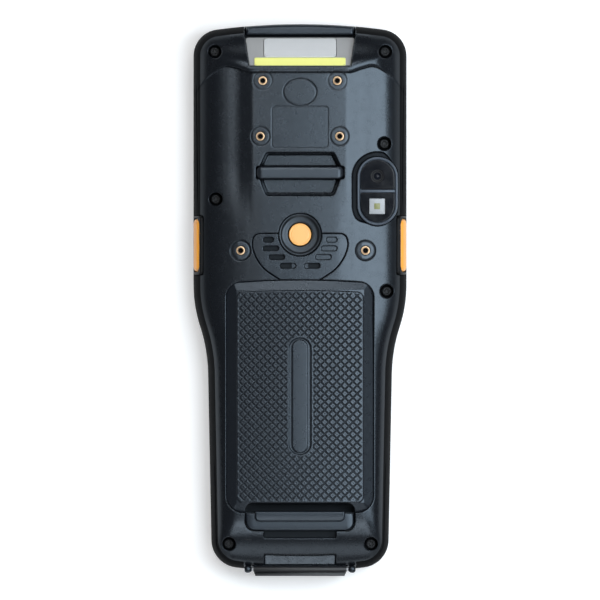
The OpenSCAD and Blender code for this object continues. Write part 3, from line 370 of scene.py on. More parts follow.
def slope_height(y, sink):
    """Height of the scan window's slope, sunk by a depth along its normal."""
    return SCAN_Z - (y - SCAN_Y) * math.tan(SLOPE) - sink / math.cos(SLOPE)


# ---------------------------------------------------------------- features of the back, in plan
SCAN_TRAP = [(-19.1, 87.95), (19.1, 87.95), (20.95, 99.6), (-20.95, 99.6)]
BAR_Y = 47.85
CAP_Y = 78.1
PANEL_SIDE = [(6.3, 6.6), (7.4, 7.65), (10.4, 9.6), (13.55, 12.0), (16.3, 15.8), (17.75, 19.6), (17.8, 22.0),
              (17.0, 24.0), (15.1, 24.92), (12.6, 25.0)]
INSERT_R, PAD_R, SCREW_WELL_R, RING_WELL_R = 1.72, 3.75, 2.55, 8.02
# centre, half sizes and corner radius of the rounded rectangles
LIP_SEAT = (0, 109.2, 20.75, 10.0, 0.6)
BAR_SEAT = (0, BAR_Y, 16.55, 2.4, 0.8)
PLATE = (0, 64.98, 10.5, 7.72, 1.2)
BAY = (0, BAY_Y, 23.9, 36.85, 0.6)
FINGER_GAP = (0, -78.1, NOTCH_HALF, 1.55, 0.6)
LATCH_SLOT = (0, -87.4, 13.6, 2.05, 0.8)
CRADLE_HALF = 13.5
CRADLE = (0, -97.95, CRADLE_HALF, 2.6, 0.5)
# heights of the floors
LIP_FLOOR, STRAP_FLOOR, BAR_FLOOR = 15.0, 21.9, 26.2
SCREW_FLOOR, CAM_FLOOR, RING_FLOOR, PANEL_FLOOR = 16.4, 19.0, 25.5, 27.6
LEDGE_FLOOR, BAY_FLOOR = 24.5, 12.0
LATCH_FLOOR, GAP_FLOOR, SLOT_FLOOR, CRADLE_FLOOR = 22.95, 19.8, 22.4, 17.3
# room for the lid's barrel, in steps: distance below the middle, floor, wall and rim
LID_HALF = 17.9
LID_ROOM = ((99.42, 16.9, 0.25, 0.2), (100.6, 15.0, 0.2, 0.0))


def line(d, width):
    """Share of a thin line along a distance of nought."""
    return np.exp(-(d / width) ** 2)


def strap_points(grow=0.0):
    wide, narrow = 15.0 + grow, 13.2 + grow
    right = [(narrow, 39.25 - grow), (wide, 45.6), (wide, 50.1), (narrow, 55.45 + grow)]
    return right[::-1] + [(-x, y) for x, y in right]


def wing_side(n=9):
    """Right edge of the speaker panel, from its low corner up to its top edge."""
    key = np.array(PANEL_SIDE)
    out = []
    for k in range(1, len(key) - 2):
        p0, p1, p2, p3 = key[k - 1:k + 3]
        bend, twist = 2 * p0 - 5 * p1 + 4 * p2 - p3, 3 * p1 - p0 - 3 * p2 + p3
        for t in np.linspace(0, 1, n, endpoint=False):
            out.append(tuple(0.5 * (2 * p1 + (p2 - p0) * t + bend * t * t + twist * t ** 3)))
    return out


def wing_points():
    right = wing_side() + [(12.6, 24.95)]
    return [(-7.4, 7.65)] + right + [(-x, y) for x, y in right[::-1]][:-1]


def sd_wing(x, y, gap):
    d = np.full(np.shape(x), 9.0)
    near = (np.abs(x) < 20) & (y > 5) & (y < 27)
    d[near] = sd_poly(x[near], y[near], wing_points(), gap)
    return np.maximum(d, -(np.hypot(x, y - BUTTON_Y) - 8.25 + gap))


def sd_cover(x, y, gap=0.0):
    """Outline of the battery cover with its arched top."""
    mid, half = (COVER_LOW + COVER_TOP) / 2, (COVER_TOP - COVER_LOW) / 2
    ys = np.where(y > mid, y + x * x / ARCH, y)
    r = np.where(y > mid, COVER_R_TOP + gap, COVER_R_LOW + gap)
    qx, qy = np.abs(x) - (COVER_HALF + gap) + r, np.abs(ys - mid) - (half + gap) + r
    return np.hypot(np.maximum(qx, 0), np.maximum(qy, 0)) + np.minimum(np.maximum(qx, qy), 0) - r


def sd_notch(x, y, gap=0.0):
    """Finger gap and latch pocket at the cover's lower edge."""
    upper = sd_rect(x, y, 0, PAD_END - 20, NOTCH_HALF + gap, 20 + gap, 2.8)
    lower = sd_rect(x, y, 0, LATCH_LOW - 0.2 + 20, NOTCH_HALF + gap, 20 + gap, 3.6)
    return np.maximum(upper, lower)


def sd_camera(x, y):
    return sd_stadium(x, y, CAM_X, CAM_Y, CAM_W, CAM_L)


def moat_share(x, y, d):
    """The sunk crescent on the left and upper side of the camera."""
    side = step(-0.25, 0.55, -(x - CAM_X) / 8 + 0.62 * (y - CAM_Y) / 12)
    return step(0.0, 0.5, 1.75 * side - d + 0.25)


def cap_and_plate(x, y):
    """Distances to the contact cap and to the service plate, which it bites into."""
    cap = (np.hypot(x / 6.2, (y - CAP_Y) / 5.1) - 1) * 5.6
    return cap, np.maximum(sd_rect(x, y, *PLATE), -(cap - 0.75))


def insert_line(r, iz):
    """The thin outline round an insert, by the distance from its axis."""
    return line(r - (3.55 if iz < 28.5 else 3.5), 0.2)


def features(x, y, z, i):
    """Recesses of the back, from the head to the connector end."""
    # scan window and lip
    z = recess(z, sd_poly(x, y, SCAN_TRAP), slope_height(y, 1.9), 0.35, 0.35)
    z = recess(z, sd_rect(x, y, *LIP_SEAT), LIP_FLOOR, 0.25, 0.25)
    # strap recess with the seats of its bar
    z = recess(z, sd_poly(x, y, strap_points(-1.6), 1.6), STRAP_FLOOR, 1.1, 0.45)
    z = recess(z, sd_rect(x, y, *BAR_SEAT), BAR_FLOOR, 0.3, 0.3)
    # service plate and contact cap: thin outline grooves
    cap, plate = cap_and_plate(x, y)
    z = z - 0.28 * line(cap, 0.17)
    z = z - 0.16 * line(plate, 0.15) - 0.035 * step(0.1, 0.5, -plate)
    # inserts
    for ix, iy, iz in INSERTS:
        d = np.hypot(x - ix, y - iy)
        if iz < 28.5:
            z = np.where(d < 6, recess(z, d - PAD_R, iz, 0.25, 0.35), z)
        z = z - 0.22 * insert_line(d, iz) * (1.0 if iy < 75 else 0.55)
        z = recess(z, d - INSERT_R, iz - 4.0, 0.12, 0.12)
    # screws
    for sx, sy in SCREWS:
        z = recess(z, np.hypot(x - sx, y - sy) - SCREW_WELL_R, SCREW_FLOOR, 0.25, 0.32)
    # camera well and the moat round its left and upper side
    d = sd_camera(x, y)
    z = z - 1.5 * moat_share(x, y, d) * step(-0.2, 0.2, d)
    z = recess(z, d - 0.12, CAM_FLOOR, 0.2, 0.12)
    # centre button ring and its cup
    d = np.hypot(x, y - BUTTON_Y)
    z = recess(z, d - RING_WELL_R, RING_FLOOR - 0.4 * step(0, 0.3, 4.5 - d), 0.15, 0.2)
    # speaker panel
    z = recess(z, sd_wing(x, y, 0.22), PANEL_FLOOR, 0.15, 0.22)
    # battery opening: ledge, bay and the tray in its floor
    z = recess(z, sd_cover(x, y, 0.12), LEDGE_FLOOR, 0.2, 0.3)
    z = recess(z, sd_rect(x, y, *BAY), BAY_FLOOR, 0.25, 0.0)
    # latch pocket, finger gap and slot
    z = recess(z, np.maximum(sd_notch(x, y, 0.1), y - PAD_END), LATCH_FLOOR, 0.2, 0.3)
    z = recess(z, sd_rect(x, y, *FINGER_GAP), GAP_FLOOR, 0.2, 0.0)
    z = recess(z, sd_rect(x, y, *LATCH_SLOT), SLOT_FLOOR, 0.25, 0.28)
    # cradle recess near the connector lid
    ya = y + 0.35 * (1 - (x / CRADLE_HALF) ** 2)
    z = recess(z, sd_rect(x, ya, *CRADLE), CRADLE_FLOOR + 0.2 * (ya + 100.6), 0.3, 0.25)
    # room for the connector lid's barrel
    for low, floor, wall, edge in LID_ROOM:
        z = recess(z, np.maximum(np.abs(x) - LID_HALF, y + low), floor, wall, edge)
    # seams along the flanks
    low_share = step(-98, -90, y) * (1 - step(-64, -60, y))
    z = z - 0.45 * line(i - 2.0, 0.2) * low_share
    top_share = step(34, 40, y) * (1 - step(78, 84, y))
    return z - 0.45 * line(i - 1.2 - 0.012 * (82 - y), 0.17) * top_share


def back_height(x, y, i):
    return features(x, y, base_height(x, y, i), i)


# ---------------------------------------------------------------- materials
def node_tree(name):
    m = bpy.data.materials.new(name)
    m.use_nodes = True
    nt = m.node_tree
    return m, nt, nt.nodes["Principled BSDF"]


def ramp(nt, fac, stops):
    """Colour over a factor, as a socket."""
    r = nt.nodes.new("ShaderNodeValToRGB")
    for e, (p, c) in zip(r.color_ramp.elements, stops):
        e.position = p
        e.color = tuple(c) + (1.0,)
    nt.links.new(fac, r.inputs["Fac"])
    return r.outputs["Color"]


def noise(nt, scale, detail=3.0, rough=0.55, stretch=None):
    t = nt.nodes.new("ShaderNodeTexCoord")
    n = nt.nodes.new("ShaderNodeTexNoise")
    n.inputs["Scale"].default_value = scale
    n.inputs["Detail"].default_value = detail
    n.inputs["Roughness"].default_value = rough
    src = t.outputs["Object"]
    if stretch:
        mp = nt.nodes.new("ShaderNodeMapping")
        mp.inputs["Scale"].default_value = stretch
        nt.links.new(src, mp.inputs["Vector"])
        src = mp.outputs["Vector"]
    nt.links.new(src, n.inputs["Vector"])
    return n.outputs["Fac"]


def combined(nt, operation, a, b):
    node = nt.nodes.new("ShaderNodeMath")
    node.operation = operation
    nt.links.new(a, node.inputs[0])
    nt.links.new(b, node.inputs[1])
    return node.outputs["Value"]


def mixed(nt, factor, a, b):
    """Mix of two colours. The second is a socket or a plain grey."""
    mix = nt.nodes.new("ShaderNodeMix")
    mix.data_type = "RGBA"
    nt.links.new(factor, mix.inputs["Factor"])
    nt.links.new(a, mix.inputs[6])
    if isinstance(b, float):
        mix.inputs[7].default_value = (b, b, b, 1)
    else:
        nt.links.new(b, mix.inputs[7])
    return mix.outputs[2]


def bumped(nt, b, height, depth):
    bump = nt.nodes.new("ShaderNodeBump")
    bump.inputs["Strength"].default_value = 1.0
    bump.inputs["Distance"].default_value = depth
    nt.links.new(height, bump.inputs["Height"])
    nt.links.new(bump.outputs["Normal"], b.inputs["Normal"])


def grey(v):
    return (v, v, v)


def shade(c, k):
    return tuple(min(1.0, a * k) for a in c)


def srgb(*levels):
    """Linear colour from levels of 0 to 255."""
    return tuple(v / 255 / 12.92 if v / 255 <= 0.04045 else ((v / 255 + 0.055) / 1.055) ** 2.4 for v in levels)


MAT = {}
COOL = (0.74, 0.87, 1.0)
CLOUD = 160.0
UNEVEN = 0.04


def finish(name, level, rough, grain=900.0, depth=0.00006, vary=0.12, wear=0.25, metal=0.0, coat=0.0,
           specular=0.5, stretch=None, shaded=False, tint=None):
    """Moulded or metal finish: clouded colour, fine grain in the bump, uneven gloss and paler worn edges; when
    shaded, painted shade from the 'dark' attribute.
    """
    m, nt, b = node_tree(name)
    link = nt.links.new
    colour = srgb(*level)
    out = ramp(nt, noise(nt, CLOUD, 4.0, 0.6), [(0.3, shade(colour, 1 - vary)), (0.7, shade(colour, 1 + vary))])
    if wear > 0:
        g = nt.nodes.new("ShaderNodeNewGeometry")
        edge = ramp(nt, g.outputs["Pointiness"], [(0.51, grey(0.0)), (0.57, grey(1.0))])
        speck = ramp(nt, noise(nt, 260.0, 5.0, 0.7), [(0.42, grey(0.0)), (0.62, grey(1.0))])
        amount = ramp(nt, combined(nt, "MULTIPLY", edge, speck), [(0.0, grey(0.0)), (1.0, grey(wear))])
        pale = ramp(nt, noise(nt, 400.0), [(0.2, shade(colour, 1.9)), (0.8, shade(colour, 2.6))])
        out = mixed(nt, amount, out, pale)
    gloss = ramp(nt, noise(nt, CLOUD * 2.3, 5.0, 0.65),
                 [(0.25, grey(max(0.02, rough - UNEVEN))), (0.75, grey(min(1.0, rough + UNEVEN)))])
    # painted shade: the 'dark' attribute mixes a near-black colour and a matte gloss into the finish
    if shaded:
        at = nt.nodes.new("ShaderNodeAttribute")
        at.attribute_name = "dark"
        painted_shade_colour = ramp(nt, noise(nt, 500.0), [(0.2, srgb(3, 3, 4)), (0.8, srgb(7, 7, 8))])
        out = mixed(nt, at.outputs["Fac"], out, painted_shade_colour)
        gloss = mixed(nt, at.outputs["Fac"], gloss, 0.85)
    link(out, b.inputs["Base Color"])
    link(gloss, b.inputs["Roughness"])
    b.inputs["Metallic"].default_value = metal
    b.inputs["Specular IOR Level"].default_value = specular
    if tint:
        b.inputs["Specular Tint"].default_value = tint + (1.0,)
    b.inputs["Coat Weight"].default_value = coat
    b.inputs["Coat Roughness"].default_value = 0.12
    bumped(nt, b, noise(nt, grain, 4.0, 0.6, stretch), depth)
    MAT[name] = m


def moulded(name, level, rough, grain=1500.0, depth=0.00002, vary=0.05, wear=0.15, tint=COOL, **kw):
    """Dark moulded plastic with a cool sheen."""
    finish(name, level, rough, grain, depth, vary, wear, tint=tint, **kw)


def pane_glass(name, low, high, alpha):
    m, nt, b = node_tree(name)
    nt.links.new(ramp(nt, noise(nt, 90.0), [(0.3, srgb(*low)), (0.7, srgb(*high))]), b.inputs["Base Color"])
    nt.links.new(ramp(nt, noise(nt, 300.0, 5.0), [(0.3, grey(0.06)), (0.7, grey(0.12))]), b.inputs["Roughness"])
    bumped(nt, b, noise(nt, 400.0), 0.000001)
    b.inputs["Alpha"].default_value = alpha
    b.inputs["Specular IOR Level"].default_value = 0.3
    MAT[name] = m


# housings, covers and bars
moulded("housing", (17, 19, 23), 0.26, shaded=True)
moulded("front_shell", (18, 19, 22), 0.42, vary=0.06, specular=0.32, shaded=True)
moulded("back_plastic", (17, 20, 25), 0.26, grain=1600, vary=0.04, wear=0.12, shaded=True)
moulded("cover", (23, 26, 31), 0.29, grain=1600, shaded=True)
moulded("lip", (20, 24, 30), 0.31, depth=0.00003)
moulded("bar", (26, 29, 34), 0.3, vary=0.06, wear=0.25)
moulded("camera_rim", (56, 62, 71), 0.36, wear=0.2)
moulded("ring", (20, 22, 25), 0.34, wear=0.25)
moulded("latch", (24, 28, 34), 0.31, depth=0.00003, wear=0.25)
moulded("lid", (20, 21, 24), 0.45, depth=0.00003, vary=0.08, wear=0.2, tint=None)
moulded("flank", (12, 13, 15), 0.62, vary=0.06, wear=0.1, specular=0.03, tint=None)
moulded("frame_black", (11, 12, 14), 0.5, vary=0.1, wear=0.1, specular=0.15, tint=None)
# scan window, lamps and buttons
finish("bezel", (160, 160, 160), 0.38, 1800, 0.00002, 0.03, 0.1)
finish("pane", (208, 209, 210), 0.12, 500, 0.00001, 0.02, 0.0, coat=0.4)
finish("strip", (250, 250, 148), 0.35, 900, 0.00002, 0.02, 0.0)
finish("lamp", (186, 190, 194), 0.3, 700, vary=0.1, wear=0.0)
finish("chip", (150, 152, 96), 0.3, 700, vary=0.15, wear=0.0)
finish("button_peach", (246, 180, 102), 0.4, 1000, 0.00002, 0.03, 0.0)
finish("button_orange", (254, 168, 58), 0.38, 1000, 0.00002, 0.05, 0.0)
finish("key", (52, 55, 60), 0.45, vary=0.08)
finish("display_glass", (10, 11, 14), 0.06, 300, 0.000005, 0.2, 0.0, coat=1.0)
# inside
finish("seal", (16, 17, 19), 0.7, 1200, vary=0.15, wear=0.0)
finish("inner_black", (12, 13, 15), 0.6, 1600, 0.00001, 0.15, 0.0)
finish("battery", (28, 30, 33), 0.5, vary=0.15, wear=0.15)
finish("mat", (34, 36, 39), 0.6, vary=0.1, wear=0.1)
finish("board", (24, 66, 44), 0.45, wear=0.0)
# metal
finish("inner_metal", (140, 143, 146), 0.35, vary=0.1, wear=0.0, metal=0.9, stretch=(1, 12, 1))
finish("contact_gold", (196, 158, 70), 0.28, vary=0.1, wear=0.0, metal=1.0)
finish("pin_steel", (150, 152, 155), 0.3, vary=0.08, wear=0.0, metal=1.0, stretch=(12, 1, 1))
finish("screw_black", (24, 25, 27), 0.36, 1200, wear=0.4, metal=0.6)
finish("brass", (205, 172, 138), 0.36, depth=0.00001, wear=0.0, metal=0.8)
# camera
pane_glass("smoked_pane", (8, 11, 17), (12, 15, 22), 1.0)
pane_glass("lens_glass", (10, 13, 22), (15, 19, 30), 1.0)
pane_glass("clear_pane", (30, 34, 42), (38, 43, 52), 0.14)

SLOTS = {n: entry["slot"] for entry in frame["record"].get("materials", []) for n in entry.get("nodes", [])}
for name, ob in frame["nodes"].items():
    slot = SLOTS.get(name)
    for s in ob.material_slots:
        key = s.material.name.split(".")[0] if s.material else slot
        s.material = MAT.get(slot) or MAT.get(key) or MAT["inner_black"]
    if not ob.material_slots:
        ob.data.materials.append(MAT.get(slot, MAT["inner_black"]))


# ---------------------------------------------------------------- skins of the two housings
def foot_on(p, rx, ry):
    """Nearest point of a closed outline for each of a few points."""
    d2 = (rx[:, None] - p[None, :, 0]) ** 2 + (ry[:, None] - p[None, :, 1]) ** 2
    j, n = d2.argmin(1), len(p)
    best = None
    for s in (-1, 0):
        a, b = p[(j + s) % n], p[(j + s + 1) % n]
        e = b - a
        t = np.clip(((rx - a[:, 0]) * e[:, 0] + (ry - a[:, 1]) * e[:, 1]) / (e ** 2).sum(1), 0, 1)
        c = a + t[:, None] * e
        dd = np.hypot(rx - c[:, 0], ry - c[:, 1])
        if best is None:
            best, foot = dd, c
        else:
            w = dd < best
            foot = np.where(w[:, None], c, foot)
            best = np.minimum(dd, best)
    return best, foot


def band(rows):
    """Points and quads of a closed band through rows of equal length."""
    m, n = len(rows), len(rows[0])
    idx = np.arange(m * n).reshape(m, n)
    nxt = np.roll(idx, -1, axis=1)
    return np.concatenate(rows), np.stack([idx[:-1], nxt[:-1], nxt[1:], idx[1:]], -1).reshape(-1, 4)


def fill_grid(v, q, gx, gy, inset, inside, outline, rim, place):
    """Adds the grid that lies inside, its edge drawn to the band's last row."""
    quad = inside[:-1, :-1] & inside[1:, :-1] & inside[:-1, 1:] & inside[1:, 1:]
    around = np.zeros(gx.shape, int)
    for sy in (slice(0, -1), slice(1, None)):
        for sx in (slice(0, -1), slice(1, None)):
            around[sy, sx] += quad
    used = around > 0
    edge = used & (around < 4)
    px, py, pi = gx.copy(), gy.copy(), inset.copy()
    best, foot = foot_on(outline, px[edge], py[edge])
    px[edge] = foot[:, 0] + rim * (px[edge] - foot[:, 0]) / best
    py[edge] = foot[:, 1] + rim * (py[edge] - foot[:, 1]) / best
    pi[edge] = rim
    gi = np.full(gx.shape, -1)
    gi[used] = np.arange(used.sum()) + len(v)
    gq = np.stack([gi[:-1, :-1][quad], gi[:-1, 1:][quad], gi[1:, 1:][quad], gi[1:, :-1][quad]], -1)
    return np.concatenate([v, place(px[used], py[used], pi[used])]), np.concatenate([q, gq])


def body_row(i, z):
    """Row of points at a distance in from the body's outline."""
    x, y = OUT_P[:, 0] - i * OUT_N[:, 0], OUT_P[:, 1] - i * OUT_N[:, 1]
    return np.stack([x, y, z(x, y, np.full(len(x), i)) if callable(z) else np.full(len(x), z)], 1)


def body_grid(cell):
    gx, gy = np.meshgrid(np.arange(-HW, HW + cell, cell), np.arange(LOW, TOP + cell, cell))
    return gx, gy, inset_grid(gx, gy)


REAR_RIM = 3.2


def rear_skin():
    """Outer face of the rear housing: a fine band round the edge, then a grid over the back."""
    rim = REAR_RIM
    turn = math.acos(1 - rim / ROLL_W)
    k = 34
    ins = [ROLL_W * (1 - math.cos(turn * t / k)) for t in range(k + 1)]

    def place(x, y, i):
        return side_push(x, y, back_height(x, y, i))

    rows = [body_row(0.35, SPLIT_Z), body_row(0.06, SPLIT_Z + 0.1), side_push(*body_row(0.0, SPLIT_Z).T)]
    rows += [side_push(*body_row(i, back_height).T) for i in ins[1:]]
    v, q = band(rows)
    gx, gy, ci = body_grid(0.21)
    v, q = fill_grid(v, q, gx, gy, ci, ci > rim, OUT_P, rim, place)
    c = v[q].mean(1)
    q = q[~latch_way(*c.T)]
    ob = add_mesh("rear_shell", v, q, "housing", back_painted_shade, replaces="rear_housing")
    ob.data.materials.append(MAT["flank"])
    low = len(OUT_P) * (2 + sum(1 for i in ins if i < FLANK_W))
    first = v[q[:low]].mean(1)
    ends = (np.abs(first[:, 0]) < 21) & (np.abs(first[:, 1]) > 90)
    index = np.zeros(len(ob.data.polygons), dtype=np.int32)
    index[:low] = np.where(ends, 0, 1)
    ob.data.polygons.foreach_set("material_index", index)


def inset_grid(gx, gy):
    """Inset on a fine grid, interpolated from a coarser one."""
    cell = 0.7
    cx = np.arange(-42, 42.6, cell)
    cy = np.arange(-104, 106, cell)
    mx, my = np.meshgrid(cx, cy)
    d = inset_of(mx, my)
    inside = sd_poly(mx, my, [tuple(p) for p in OUT_P[::6]]) < 0
    d = np.where(inside, d, -d)
    fx = (gx - cx[0]) / cell
    fy = (gy - cy[0]) / cell
    ix, iy = np.clip(fx.astype(int), 0, len(cx) - 2), np.clip(fy.astype(int), 0, len(cy) - 2)
    tx, ty = fx - ix, fy - iy
    return ((d[iy, ix] * (1 - tx) + d[iy, ix + 1] * tx) * (1 - ty)
            + (d[iy + 1, ix] * (1 - tx) + d[iy + 1, ix + 1] * tx) * ty)


def side_push(x, y, z):
    """Lets the side button openings into the flanks by pushing the skin inwards."""
    dz = sd_rect(y, z, SIDE_Y, SIDE_Z, SIDE_L / 2 + 1.25, 3.4 + 1.25, 0.5)
    s = step(0.0, 0.3, -dz) * (np.abs(x) > 30)
    return np.stack([np.sign(x) * (np.abs(x) - s * np.maximum(np.abs(x) - 35.9, 0)), y, z], 1)


def back_painted_shade(v):
    """Painted shade on the back: deep places, gaps and outline grooves where no light comes, and the rolled flanks.
    """
    x, y, z = v.T
    d = np.zeros(len(x))

    def add(share):
        np.maximum(d, share, out=d)

    def within(sd, soft=0.35):
        add(step(0, soft, -sd))

    within(sd_rect(x, y, 0, -78.0, NOTCH_HALF, 1.9, 0.6), 0.2)
    within(sd_rect(x, y, 0, -87.6, 13.6, 1.8, 0.5))
    for sx, sy in SCREWS:
        within(np.hypot(x - sx, y - sy) - 2.5, 0.25)
    for ix, iy, iz in INSERTS:
        r = np.hypot(x - ix, y - iy)
        within(r - INSERT_R, 0.1)
        add((0.5 if iy > 75 else 0.9) * insert_line(r, iz))
    cam = sd_camera(x, y)
    within(cam - 0.1, 0.2)
    add(0.85 * moat_share(x, y, cam) * (cam > 0))
    within(np.maximum(sd_cover(x, y, 0.13), 22.0 - z) - 0.02, 0.15)
    within(sd_wing(x, y, 0.22) - 0.02, 0.2)
    within(np.hypot(x, y - BUTTON_Y) - 8.1, 0.15)
    within(sd_poly(x, y, SCAN_TRAP), 0.3)
    cap, plate = cap_and_plate(x, y)
    add(0.9 * line(cap, 0.17))
    add(0.7 * line(plate, 0.15))
    # painted shade down the rolled flanks, deepening as they fall below the top
    add(0.9 * step(0.0, 6.0, 25.6 - z) * step(25.5, 28.5, np.abs(x)))
    return d


def latch_way(x, y, z):
    """Walls of the latch's seat that its plate slides through, into the pockets behind them."""
    ax = np.abs(x)
    seat = (ax > 13.4) & (ax < 21.0) & (y < -83.1) & (y > -87.4) & (z < 25.6)
    slot = (ax > 13.2) & (ax < 14.2) & (y < -86.8) & (y > -89.6) & (z < 25.2)
    return (seat | slot) & (z > 23.1)


rear_skin()


# ---------------------------------------------------------------- pieces that follow an outline
def fillet_poly(pts, radii, n=8):
    """Closed outline with each corner replaced by an arc of its radius."""
    out = []
    m = len(pts)
    for k in range(m):
        p, a, b = np.array(pts[k], float), np.array(pts[k - 1], float), np.array(pts[(k + 1) % m], float)
        r = radii[k] if isinstance(radii, (list, tuple)) else radii
        u, w = (a - p) / np.linalg.norm(a - p), (b - p) / np.linalg.norm(b - p)
        cosang = float(np.clip(u @ w, -1, 1))
        if r <= 0 or cosang < -0.9995:
            out.append(tuple(p))
            continue
        half = math.acos(cosang) / 2
        cut = min(r / math.tan(half), 0.49 * np.linalg.norm(a - p), 0.49 * np.linalg.norm(b - p))
        r = cut * math.tan(half)
        c = p + (u + w) / np.linalg.norm(u + w) * (r / math.sin(half))
        s, e = p + u * cut - c, p + w * cut - c
        a0, a1 = math.atan2(s[1], s[0]), math.atan2(e[1], e[0])
        d = (a1 - a0 + math.pi) % (2 * math.pi) - math.pi
        for t in range(n + 1):
            q = a0 + d * t / n
            out.append((c[0] + r * math.cos(q), c[1] + r * math.sin(q)))
    return out


def resample(pts, ds):
    """Evenly spaced points of a closed outline, with their outward normals."""
    p = np.array(pts + [pts[0]], float)
    s = run_lengths(p)
    r = along_path(p, s, np.linspace(0, s[-1], max(12, int(round(s[-1] / ds))), endpoint=False))
    nrm = across(np.roll(r, -1, axis=0) - np.roll(r, 1, axis=0))
    area2 = (r[:, 0] * np.roll(r[:, 1], -1) - np.roll(r[:, 0], -1) * r[:, 1]).sum()
    return r, nrm if area2 > 0 else -nrm


def inside_rows(p, gx, gy):
    """Which points of a regular grid lie inside a closed outline."""
    a, b = p, np.roll(p, -1, axis=0)
    inside = np.zeros(gx.shape, bool)
    for r in range(gx.shape[0]):
        y = gy[r, 0] + 1e-7
        hit = (a[:, 1] > y) != (b[:, 1] > y)
        if hit.any():
            x = a[hit, 0] + (y - a[hit, 1]) / (b[hit, 1] - a[hit, 1]) * (b[hit, 0] - a[hit, 0])
            inside[r] = (np.searchsorted(np.sort(x), gx[r]) % 2) == 1
    return inside


def shell_faces(pts, height, skirt, rim, cell, ds=0.25, holes=None, up=1, steps=5):
    """Top face over an outline, with rows at growing insets near the rim, a grid inside and a skirt down the side.

    The height is a function of place and inset, or a plain number."""
    if not callable(height):
        level = height
        height = lambda x, y, i: level + 0 * x
    p, nr = resample(pts, ds * (1))
    n = len(p)
    cell = cell * 1
    rows = [np.stack([p[:, 0] + out * nr[:, 0], p[:, 1] + out * nr[:, 1], np.full(n, z)], 1) for out, z in skirt]
    for k in range(steps + 1):
        i = rim * (1 - math.cos(math.pi / 2 * k / steps))
        x, y = p[:, 0] - i * nr[:, 0], p[:, 1] - i * nr[:, 1]
        rows.append(np.stack([x, y, height(x, y, np.full(n, i))], 1))
    v, q = band(rows)
    lo, hi = p.min(0), p.max(0)
    xs, ys = [np.linspace(a, b, max(4, int((b - a) / cell) + 1)) for a, b in zip(lo, hi)]
    gx, gy = np.meshgrid(xs, ys)
    ins = inside_rows(p, gx, gy)
    qx, qy = gx[ins], gy[ins]
    dist = np.empty(len(qx))
    for k in range(0, len(qx), 8000):
        s = slice(k, k + 8000)
        dist[s] = np.sqrt(((qx[s, None] - p[None, :, 0]) ** 2 + (qy[s, None] - p[None, :, 1]) ** 2).min(1))
    d = np.zeros(gx.shape)
    d[ins] = dist
    v, q = fill_grid(v, q, gx, gy, d, ins & (d > rim * 1.02), p, rim,
                     lambda x, y, i: np.stack([x, y, height(x, y, i)], 1))
    if holes is not None:
        c = v[q].mean(1)
        q = q[~holes(c[:, 0], c[:, 1])]
    return v, q if up > 0 else q[:, ::-1]


def outlined(name, pts, height, skirt, rim, cell, slot, ds=0.25, holes=None, up=1, steps=5, **at):
    v, q = shell_faces(pts, height, skirt, rim, cell, ds, holes, up, steps)
    return add_mesh(name, v, q, slot, sharp=50, **at)


def rounded(i, r):
    """Drop of a rounded rim at a distance in from the edge."""
    c = np.clip(i, 0, r)
    return r - np.sqrt(np.maximum(r * r - (r - c) ** 2, 0))


def swept(name, pts, profile, slot, ds, **at):
    """Closed outline swept through a profile of (inset, height)."""
    p, nr = resample(pts, ds * (1))
    v, q = band([np.stack([p[:, 0] - i * nr[:, 0], p[:, 1] - i * nr[:, 1], np.full(len(p), z)], 1)
                 for i, z in profile])
    return add_mesh(name, v, q, slot, sharp=40, **at)


def polar(name, centre, radius, height, slot, rings, spokes, skirt, sharp=45, **at):
    """Round piece with a height over radius and angle, and a skirt down to a height."""
    turn = [2 * math.pi * s / spokes for s in range(spokes)]
    rows = [(radius * math.sin(math.pi / 2 * k / rings), height) for k in range(1, rings + 1)]
    rows.append((radius, lambda r, a: skirt))
    v = [(centre[0], centre[1], height(0.0, 0.0))]
    v += [(centre[0] + r * math.cos(a), centre[1] + r * math.sin(a), rise(r, a)) for r, rise in rows for a in turn]
    f = [(0, 1 + s, 1 + (s + 1) % spokes) for s in range(spokes)]
    for k in range(rings):
        for s in range(spokes):
            a, b = 1 + k * spokes + s, 1 + k * spokes + (s + 1) % spokes
            f.append((a, a + spokes, b + spokes, b))
    return add_mesh(name, v, f, slot, sharp=sharp, **at)


def rounded_copy(node, name, slot, width, segments=2):
    """Copy of a CAD node with its sharp edges rounded off."""
    src = frame["nodes"][node]
    bm = bmesh.new()
    bm.from_mesh(src.data)
    bmesh.ops.remove_doubles(bm, verts=bm.verts, dist=1e-6)
    bmesh.ops.dissolve_limit(bm, angle_limit=math.radians(0.6), verts=bm.verts, edges=bm.edges, delimit=set())
    bevel_edges(bm, width * MM, segments, 25)
    return add_object(name, mesh_of(bm, name), slot, node, src["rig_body"], sharp=40)


SIDES = ((1, "right"), (-1, "left"))


# ---------------------------------------------------------------- battery cover
PAD_TOP, PAD_HALF = 3.8, 23.95
GROOVE = (0, -36.15, 8.9, 44.4)
ISLAND = (0, -36.15, 6.2, 42.8)
LATTICE_PITCH, LATTICE_DEPTH = 3.06, 0.26


def cover_outline():
    half, low, n = COVER_HALF, COVER_LOW, NOTCH_HALF
    rt, rl, rn = COVER_R_TOP, COVER_R_LOW, 2.8
    arch = [half - rt - t * 2 * (half - rt) / 24 for t in range(25)]
    arch = [(x, COVER_TOP - x * x / ARCH) for x in arch]
    corner = arc(half - rt, COVER_TOP - (half - 2.0) ** 2 / ARCH - rt + 0.35, rt, 0, 84, 10)
    foot = arc(half - rl, low + rl, rl, -90, 0, 10)
    notch = arc(-n + rn, PAD_END - rn, rn, 180, 90, 8) + arc(n - rn, PAD_END - rn, rn, 90, 0, 8)
    notch = [(-n - 0.2, low), (-n, low + 0.15)] + notch + [(n, low + 0.15), (n + 0.2, low)]
    left = [[(-x, y) for x, y in part[::-1]] for part in (corner, foot)]
    return foot + corner + arch + left[0] + left[1] + notch


